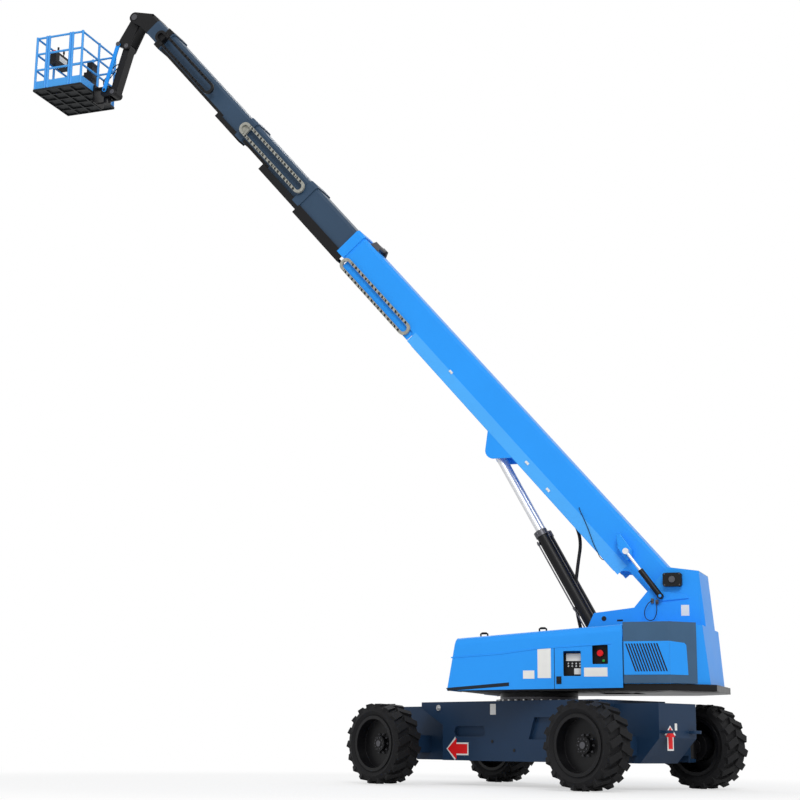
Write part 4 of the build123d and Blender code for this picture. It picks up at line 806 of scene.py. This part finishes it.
# Boom: a welded box girder in blue with deep skirts under it, slightly paler along its lower band.
# Screwed clips hold the lead on its side, a lug carries the levelling cylinder's eye, and a guide roller
# stands on top of its tip.
BAND_COLOUR = (0.075, 0.42, 0.98)
BOOM_FACE = 0.28
BAND = rectangle(0.70, -0.53, 5.60, -0.345)
BAND_RISE = 0.0015
BACKING = rectangle(5.62, -0.525, 7.33, -0.36)
BACKING_RISE = -0.022
BACKING_SINK = 0.03
CLIP_PLACES = ((1.256, 6.102), (0.074, 4.634), (-0.239, 4.216))
CLIP_PLATE = rectangle(-0.035, -0.018, 0.035, 0.018)
CLIP_PLATE_RISE = 0.012
CLIP_SCREW_RADIUS = 0.012
CLIP_SCREW_RISE = 0.022
CLIP_SCREW_SINK = -0.01
EYE_LUG = ((0.72, -0.29), (0.95, -0.27), (1.10, -0.16), (1.08, -0.10), (0.80, -0.13), (0.72, -0.20))
EYE_LUG_FACE = 0.405
ROLLER_PLACE = Matrix.Translation((7.20, 0, 0.115))
ROLLER_RADIUS = 0.042
ROLLER_HALF = 0.15
CHEEK = ((7.10, 0.06), (7.30, 0.06), (7.25, 0.16), (7.15, 0.16))
CHEEK_STARTS = (-0.185, 0.16)
CHEEK_WALL = 0.025
band_paint = surface("band_paint", BAND_COLOUR, 0.3, cloud=0.05, cloud_size=1.1)
dress(blue_paint, "boom_base")
for side, hand in SIDES:
    mesh = bmesh.new()
    slab(mesh, boom_frame, BAND, *on_face(BOOM_FACE, BAND_RISE, FILM_SINK, hand))
    finished(mesh, f"boom_band_{side}", band_paint, "boom")
mesh = bmesh.new()
slab(mesh, boom_frame, BACKING, *on_face(BOOM_FACE, BACKING_RISE, BACKING_SINK))
finished(mesh, "carrier_backing", blue_paint, "boom", edge=0.002)
mesh = bmesh.new()
for x, z in CLIP_PLACES:
    clip = turret_frame @ Matrix.Translation((x, 0, z)) @ boom_turn
    slab(mesh, clip, CLIP_PLATE, *on_face(BOOM_FACE, CLIP_PLATE_RISE, FILM_SINK))
    screw_ends = on_face(BOOM_FACE, CLIP_SCREW_RISE, CLIP_SCREW_SINK)
    cylinder(mesh, clip, CLIP_SCREW_RADIUS, *screw_ends, segments=6)
finished(mesh, "boom_clips", label_film, "boom", edge=0.003)
mesh = bmesh.new()
slab(mesh, boom_frame, EYE_LUG, BOOM_FACE - FIT_SINK, EYE_LUG_FACE)
finished(mesh, "level_eye_lug", blue_paint, "boom", edge=0.012)
mesh = bmesh.new()
cylinder(mesh, boom_frame @ ROLLER_PLACE, ROLLER_RADIUS, -ROLLER_HALF, ROLLER_HALF, segments=32)
for y in CHEEK_STARTS:
    slab(mesh, boom_frame, CHEEK, y, y + CHEEK_WALL)
finished(mesh, "boom_roller", bearing_steel, "boom", edge=0.004)

# Boom sections: four box tubes of high-strength plate nested in the boom, in dark slate blue, each with a
# collar that holds slide pads. Black hose trays hang under the boom and the first two of them; the tall
# black near wall of each is partly painted shade, standing in for the shaded underside seen from below.
# A black band goes round the third one's tip.
SECTION_COLOUR = (0.034, 0.066, 0.115)
section_paint = surface("section_paint", SECTION_COLOUR, 0.4, cloud=0.15, cloud_size=1.4, edge=0.006)
dress(section_paint, "boom_section_2", "boom_section_3", "boom_section_4")
# The fly's head is masked off and sprayed black from this distance along the boom
HEAD_START = 13.30
HEAD_BLUR = 0.01
fly_paint = surface("fly_paint", SECTION_COLOUR, 0.4, cloud=0.15, cloud_size=1.4, edge=0.006)
fly_tree = fly_paint.node_tree
fly_base = fly_tree.nodes["Principled BSDF"].inputs["Base Color"]
slate_tone = fly_base.links[0].from_socket
fly_place = fly_tree.nodes.new("ShaderNodeTexCoord")
fly_along = fly_tree.nodes.new("ShaderNodeVectorMath")
fly_along.operation = "DOT_PRODUCT"
fly_along.inputs[1].default_value = boom_along
fly_tree.links.new(fly_place.outputs["Object"], fly_along.inputs[0])
fly_mask = fly_tree.nodes.new("ShaderNodeMapRange")
head_along = HEAD_START + boom_foot.dot(boom_along)
fly_mask.inputs["From Min"].default_value = head_along
fly_mask.inputs["From Max"].default_value = head_along + HEAD_BLUR
fly_tree.links.new(fly_along.outputs["Value"], fly_mask.inputs["Value"])
fly_tone = fly_tree.nodes.new("ShaderNodeMix")
fly_tone.data_type = "RGBA"
fly_tone.inputs[MIX_SECOND].default_value = (*BLACK_COLOUR, 1)
fly_tree.links.new(fly_mask.outputs[0], fly_tone.inputs[0])
fly_tree.links.new(slate_tone, fly_tone.inputs[MIX_FIRST])
fly_tree.links.new(fly_tone.outputs[MIX_RESULT], fly_base)
dress(fly_paint, "boom_fly")
# Tray columns: name, body, start, floor end, end of its near wall (partly painted shade), low, high, near
# side, far side
TRAYS = (
    ("tray_base", "boom", 7.44, 8.40, 8.66, -0.510, -0.345, 0.298, 0.050),
    ("tray_middle", "section_2", 8.66, 9.45, 9.70, -0.450, -0.330, 0.282, 0.065),
    ("tray_upper", "section_3", 10.34, 11.00, 11.05, -0.395, -0.310, 0.268, 0.080),
)
TRAY_WALL = 0.006
TRAY_LIP = 0.04
for name, body, start, floor_end, near_wall_and_shade_end, low, high, near, far in TRAYS:
    mesh = bmesh.new()
    slab(mesh, boom_frame, rectangle(start, low, floor_end, low + TRAY_WALL), far, near)
    slab(mesh, boom_frame, rectangle(start, low, floor_end, low + TRAY_LIP), far, far + TRAY_WALL)
    # The near wall, black up to its high line, is partly painted shade for the underside seen from below
    slab(mesh, boom_frame, rectangle(start, low, near_wall_and_shade_end, high), near - TRAY_WALL, near)
    finished(mesh, name, black_paint, body, edge=0.001)
# Painted shade: a black band along the lower edge of sections 3 and 4, up to their collars, stands in for
# their shaded underside seen from below
# Band columns: name, body, start, end, low, high, face of its section
UNDERSIDE_SHADE_BANDS = (
    ("underside_shade_section_3", "section_3", 9.60, 10.31, -0.342, -0.290, 0.248),
    ("underside_shade_section_4", "section_4", 10.95, 12.82, -0.326, -0.280, 0.232),
)
SHADE_FILM_RISE = 0.0003
for name, body, start, end, low, high, face in UNDERSIDE_SHADE_BANDS:
    mesh = bmesh.new()
    slab(mesh, boom_frame, rectangle(start, low, end, high), *on_face(face, SHADE_FILM_RISE, FILM_SINK))
    finished(mesh, name, black_paint, body)
# The band round the tip of section 4 is four thin bars, placed from the sections' axis
SECTION_AXIS = -0.155
TIP_BAND_START = 12.86
TIP_BAND_END = 12.99
# Bar columns: right side, left side, low, high
TIP_BARS = (
    (-0.256, 0.256, 0.193, 0.196),
    (-0.256, 0.256, -0.196, -0.193),
    (-0.256, -0.253, -0.196, 0.196),
    (0.253, 0.256, -0.196, 0.196),
)
mesh = bmesh.new()
for right, left, low, high in TIP_BARS:
    outline = rectangle(TIP_BAND_START, SECTION_AXIS + low, TIP_BAND_END, SECTION_AXIS + high)
    slab(mesh, boom_frame, outline, right, left)
finished(mesh, "section_4_band", black_paint, "section_4", edge=0.0008)

# Cable carriers: loops of linked plates on the boom's left side, of pale plastic on the two lower ones and
# black on the upper one. Slanted dark link plates are clipped along both runs of each loop.
CARRIER_COLOUR = (0.34, 0.34, 0.30)
# Carrier columns: name, body, start, end, low, high, outer face
CARRIERS = (
    ("carrier_base", "boom", 5.68, 7.38, -0.539, -0.329, 0.320),
    ("carrier_middle", "section_3", 8.78, 10.50, -0.260, -0.050, 0.352),
    ("carrier_upper", "section_4", 11.35, 13.00, -0.260, -0.050, 0.402),
)
LINK = ((0, 0.006), (0.03, 0.006), (0.045, 0.04), (0.015, 0.04))
LINK_PITCH = 0.085
LINK_RISE = 0.005
FIRST_LINK = 0.12
PLAIN_ENDS = 0.2
RUN_HEIGHT = 0.046
carrier_plastic = surface(
    "carrier_plastic", CARRIER_COLOUR, 0.55, cloud=0.5, cloud_size=26, grain=60, grain_depth=0.003
)
dress(carrier_plastic, "carrier_base", "carrier_middle")
dress(black_plastic, "carrier_upper")
for name, body, start, end, low, high, face in CARRIERS:
    mesh = bmesh.new()
    for step in range(int((end - start - PLAIN_ENDS) / LINK_PITCH)):
        link_start = start + FIRST_LINK + LINK_PITCH * step
        for foot in (low, high - RUN_HEIGHT):
            outline = [(link_start + x, foot + z) for x, z in LINK]
            slab(mesh, boom_frame, outline, *on_face(face, LINK_RISE))
    finished(mesh, f"{name}_links", black_plastic, body, edge=0.002)

# Lift cylinders: two black steel barrels side by side with chromed rods. Screwed gland rings close their
# ends, and a thin steel pipe feeds each one along its back, held by three clamps.
CHROME_COLOUR = (0.80, 0.81, 0.83)
LIFT_SPREAD = 0.30
LIFT_BARREL = 2.55
GLAND_BORE = 0.0875
GLAND_OUTSIDE = 0.101
GLAND_START = LIFT_BARREL - 0.09
GLAND_END = LIFT_BARREL - 0.004
GLAND_STEPS = 40
PIPE_ASIDE = 0.03
PIPE_BACK = 0.108
PIPE_RADIUS = 0.011
PIPE_ENDS = (0.30, 2.42)
CLAMP_PLACES = (0.32, 1.30, 2.38)
CLAMP_HALF_WIDTH = 0.025
CLAMP_HALF_LENGTH = 0.02
CLAMP_LOW = 0.085
CLAMP_HIGH = 0.122
chrome = surface("chrome", CHROME_COLOUR, 0.34, cloud=0.06, cloud_size=20, metal=0.55, shine=0.5)
dress(chrome, "lift_rods", "level_rod")
dress(black_paint, "lift_barrels", "level_barrel")
lift_foot = Vector(joints["lift_barrel_swing"]["pos_m"])
lift_along = Vector(joints["lift_rod_slide"]["axis"]).normalized()
across = Vector((0, 1, 0))
lift_turn = Matrix((across, lift_along, across.cross(lift_along))).transposed().to_4x4()
lift_frame = Matrix.Translation((lift_foot.x, 0, lift_foot.z)) @ lift_turn
for side, hand in SIDES:
    place = lift_frame @ Matrix.Translation((hand * LIFT_SPREAD / 2, 0, 0))
    mesh = bmesh.new()
    # The gland ring is a turned tube: a profile spun about the rod's axis
    ring = rectangle(GLAND_BORE, GLAND_START, GLAND_OUTSIDE, GLAND_END)
    profile = mesh.faces.new([mesh.verts.new((radius, along, 0)) for radius, along in ring])
    bmesh.ops.spin(
        mesh,
        geom=[profile],
        cent=(0, 0, 0),
        axis=(0, 1, 0),
        angle=math.tau,
        steps=GLAND_STEPS,
        use_merge=True,
    )
    bmesh.ops.delete(mesh, geom=[profile], context="FACES_ONLY")
    bmesh.ops.transform(mesh, matrix=place, verts=mesh.verts)
    finished(mesh, f"lift_gland_{side}", bearing_steel, "lift_barrel")
    mesh = bmesh.new()
    pipe_x = hand * PIPE_ASIDE
    pipe = place @ Matrix.Translation((pipe_x, 0, PIPE_BACK))
    cylinder(mesh, pipe, PIPE_RADIUS, *PIPE_ENDS, segments=16)
    clamp = rectangle(pipe_x - CLAMP_HALF_WIDTH, CLAMP_LOW, pipe_x + CLAMP_HALF_WIDTH, CLAMP_HIGH)
    for along in CLAMP_PLACES:
        slab(mesh, place, clamp, along - CLAMP_HALF_LENGTH, along + CLAMP_HALF_LENGTH)
    finished(mesh, f"lift_pipe_{side}", bearing_steel, "lift_barrel", edge=0.002)

# Levelling gear: a small cylinder beside the tower, and the bracket, jib and platform support at the
# boom's head, of black plate with blue jib links. Turned pins are held by keeper caps with three bolts.
dress(black_paint, "level_bracket", "jib_arm", "platform_support", "platform_bracket")
dress(blue_paint, "jib_links")
# Cap columns: name, joint it lies on, body, face, radius, rise
CAPS = (
    ("head_caps", "head_level", "level_bracket", 0.216, 0.055, 0.009),
    ("jib_caps", "jib_lift", "level_bracket", 0.131, 0.042, 0.002),
    ("link_caps", "jib_link_swing", "level_bracket", 0.162, 0.040, 0.009),
    ("support_caps", "support_level", "support", 0.131, 0.042, 0.002),
)
CAP_SINK = 0.003
BOLT_COUNT = 3
BOLT_RADIUS = 0.009
BOLT_SINK = 0.001
# A bolt's circle and its height, as shares of its cap's radius and rise
BOLT_CIRCLE_SHARE = 0.6
BOLT_RISE_SHARE = 1.8
for name, joint, body, face, radius, rise in CAPS:
    place = Matrix.Translation(Vector(joints[joint]["pos_m"]) * Vector((1, 0, 1)))
    mesh = bmesh.new()
    for hand in (1, -1):
        cylinder(mesh, place, radius, *on_face(face, rise, CAP_SINK, hand), segments=32)
        bolt_ends = on_face(face, rise * BOLT_RISE_SHARE, BOLT_SINK, hand)
        for step in range(BOLT_COUNT):
            turn = Matrix.Rotation(step * math.tau / BOLT_COUNT, 4, "Y")
            bolt = place @ turn @ Matrix.Translation((radius * BOLT_CIRCLE_SHARE, 0, 0))
            cylinder(mesh, bolt, BOLT_RADIUS, *bolt_ends, segments=6)
    finished(mesh, name, bearing_steel, body, edge=0.0006)

# Work platform: a ribbed steel floor with toe boards inside welded blue tube rails, and a control
# console with two levers, a stop button and a blank plate on the front rail.
DECK_COLOUR = (0.02, 0.022, 0.024)
RAIL_COLOUR = (0.075, 0.37, 0.86)
LEVER_PLACES = (-0.13, 0.05)
KNOB_PLACE = 0.16
# Columns of a lever's boot, stem and grip, and of the button's stem and head: radius, start, end, sides
LEVER_PARTS = ((0.026, -0.002, 0.02, 24), (0.009, 0.015, 0.10, 16), (0.018, 0.095, 0.15, 24))
KNOB_PARTS = ((0.018, -0.002, 0.02, 24), (0.032, 0.016, 0.04, 32))
PLATE_HALF_WIDTH = 0.12
PLATE_HALF_HEIGHT = 0.05
deck_steel = surface("deck_steel", DECK_COLOUR, 0.5, cloud=0.25, cloud_size=10, metal=0.5, edge=0.004)
dress(deck_steel, "platform_floor")
rail_paint = surface("rail_paint", RAIL_COLOUR, 0.42, cloud=0.06, cloud_size=3, edge=0.004)
for panel in ("rail_back", "rail_front", "rail_right", "rail_left", "gate"):
    dress(rail_paint, f"platform_{panel}")
dress(black_plastic, "platform_console")
console_low, console_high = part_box("platform_console")
console_middle = (console_low + console_high) / 2
upright = Matrix.Rotation(math.radians(90), 4, "X")
mesh = bmesh.new()
for y in LEVER_PLACES:
    lever = Matrix.Translation((console_middle.x, y, console_high.z)) @ upright
    for radius, start, end, sides in LEVER_PARTS:
        cylinder(mesh, lever, radius, start, end, sides)
finished(mesh, "console_levers", hose_rubber, "platform", edge=0.004)
mesh = bmesh.new()
knob = Matrix.Translation((console_middle.x, KNOB_PLACE, console_high.z)) @ upright
for radius, start, end, sides in KNOB_PARTS:
    cylinder(mesh, knob, radius, start, end, sides)
finished(mesh, "console_stop", red_film, "platform", edge=0.006)
mesh = bmesh.new()
ahead = Matrix.Rotation(math.radians(-90), 4, "Z")
plate_low = console_middle.z - PLATE_HALF_HEIGHT
plate_high = console_middle.z + PLATE_HALF_HEIGHT
console_plate = rectangle(-PLATE_HALF_WIDTH, plate_low, PLATE_HALF_WIDTH, plate_high)
slab(mesh, ahead, console_plate, console_low.x - FILM_RISE, console_low.x + FILM_SINK)
finished(mesh, "console_plate", label_film, "platform")

# Valve block of the turning gear: a black machined block in two steps, bolted on the platform's floor just
# inside the rear rail. Nine round hose ports stand out of its front.
VALVE_FROM_REAR = 0.16
# Step columns: outline, right side, left side
VALVE_STEPS = (
    (rectangle(-0.07, 0.0, 0.09, 0.42), -0.16, 0.10),
    (rectangle(-0.05, 0.42, 0.06, 0.62), -0.12, 0.06),
)
VALVE_FRONT = 0.09
PORT_COLUMNS = (-0.10, -0.02, 0.06)
PORT_ROWS = (0.12, 0.24, 0.36)
PORT_RADIUS = 0.024
PORT_ENDS = (-0.004, 0.045)
floor_low, floor_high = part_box("platform_floor")
valve_place = Matrix.Translation((floor_low.x + VALVE_FROM_REAR, 0, floor_high.z))
mesh = bmesh.new()
for outline, right, left in VALVE_STEPS:
    slab(mesh, valve_place, outline, right, left)
for y in PORT_COLUMNS:
    port = valve_place @ Matrix.Translation((VALVE_FRONT, y, 0)) @ ahead
    for z in PORT_ROWS:
        cylinder(mesh, port @ Matrix.Translation((0, 0, z)), PORT_RADIUS, *PORT_ENDS, segments=20)
finished(mesh, "platform_valves", black_paint, "platform", edge=0.006)
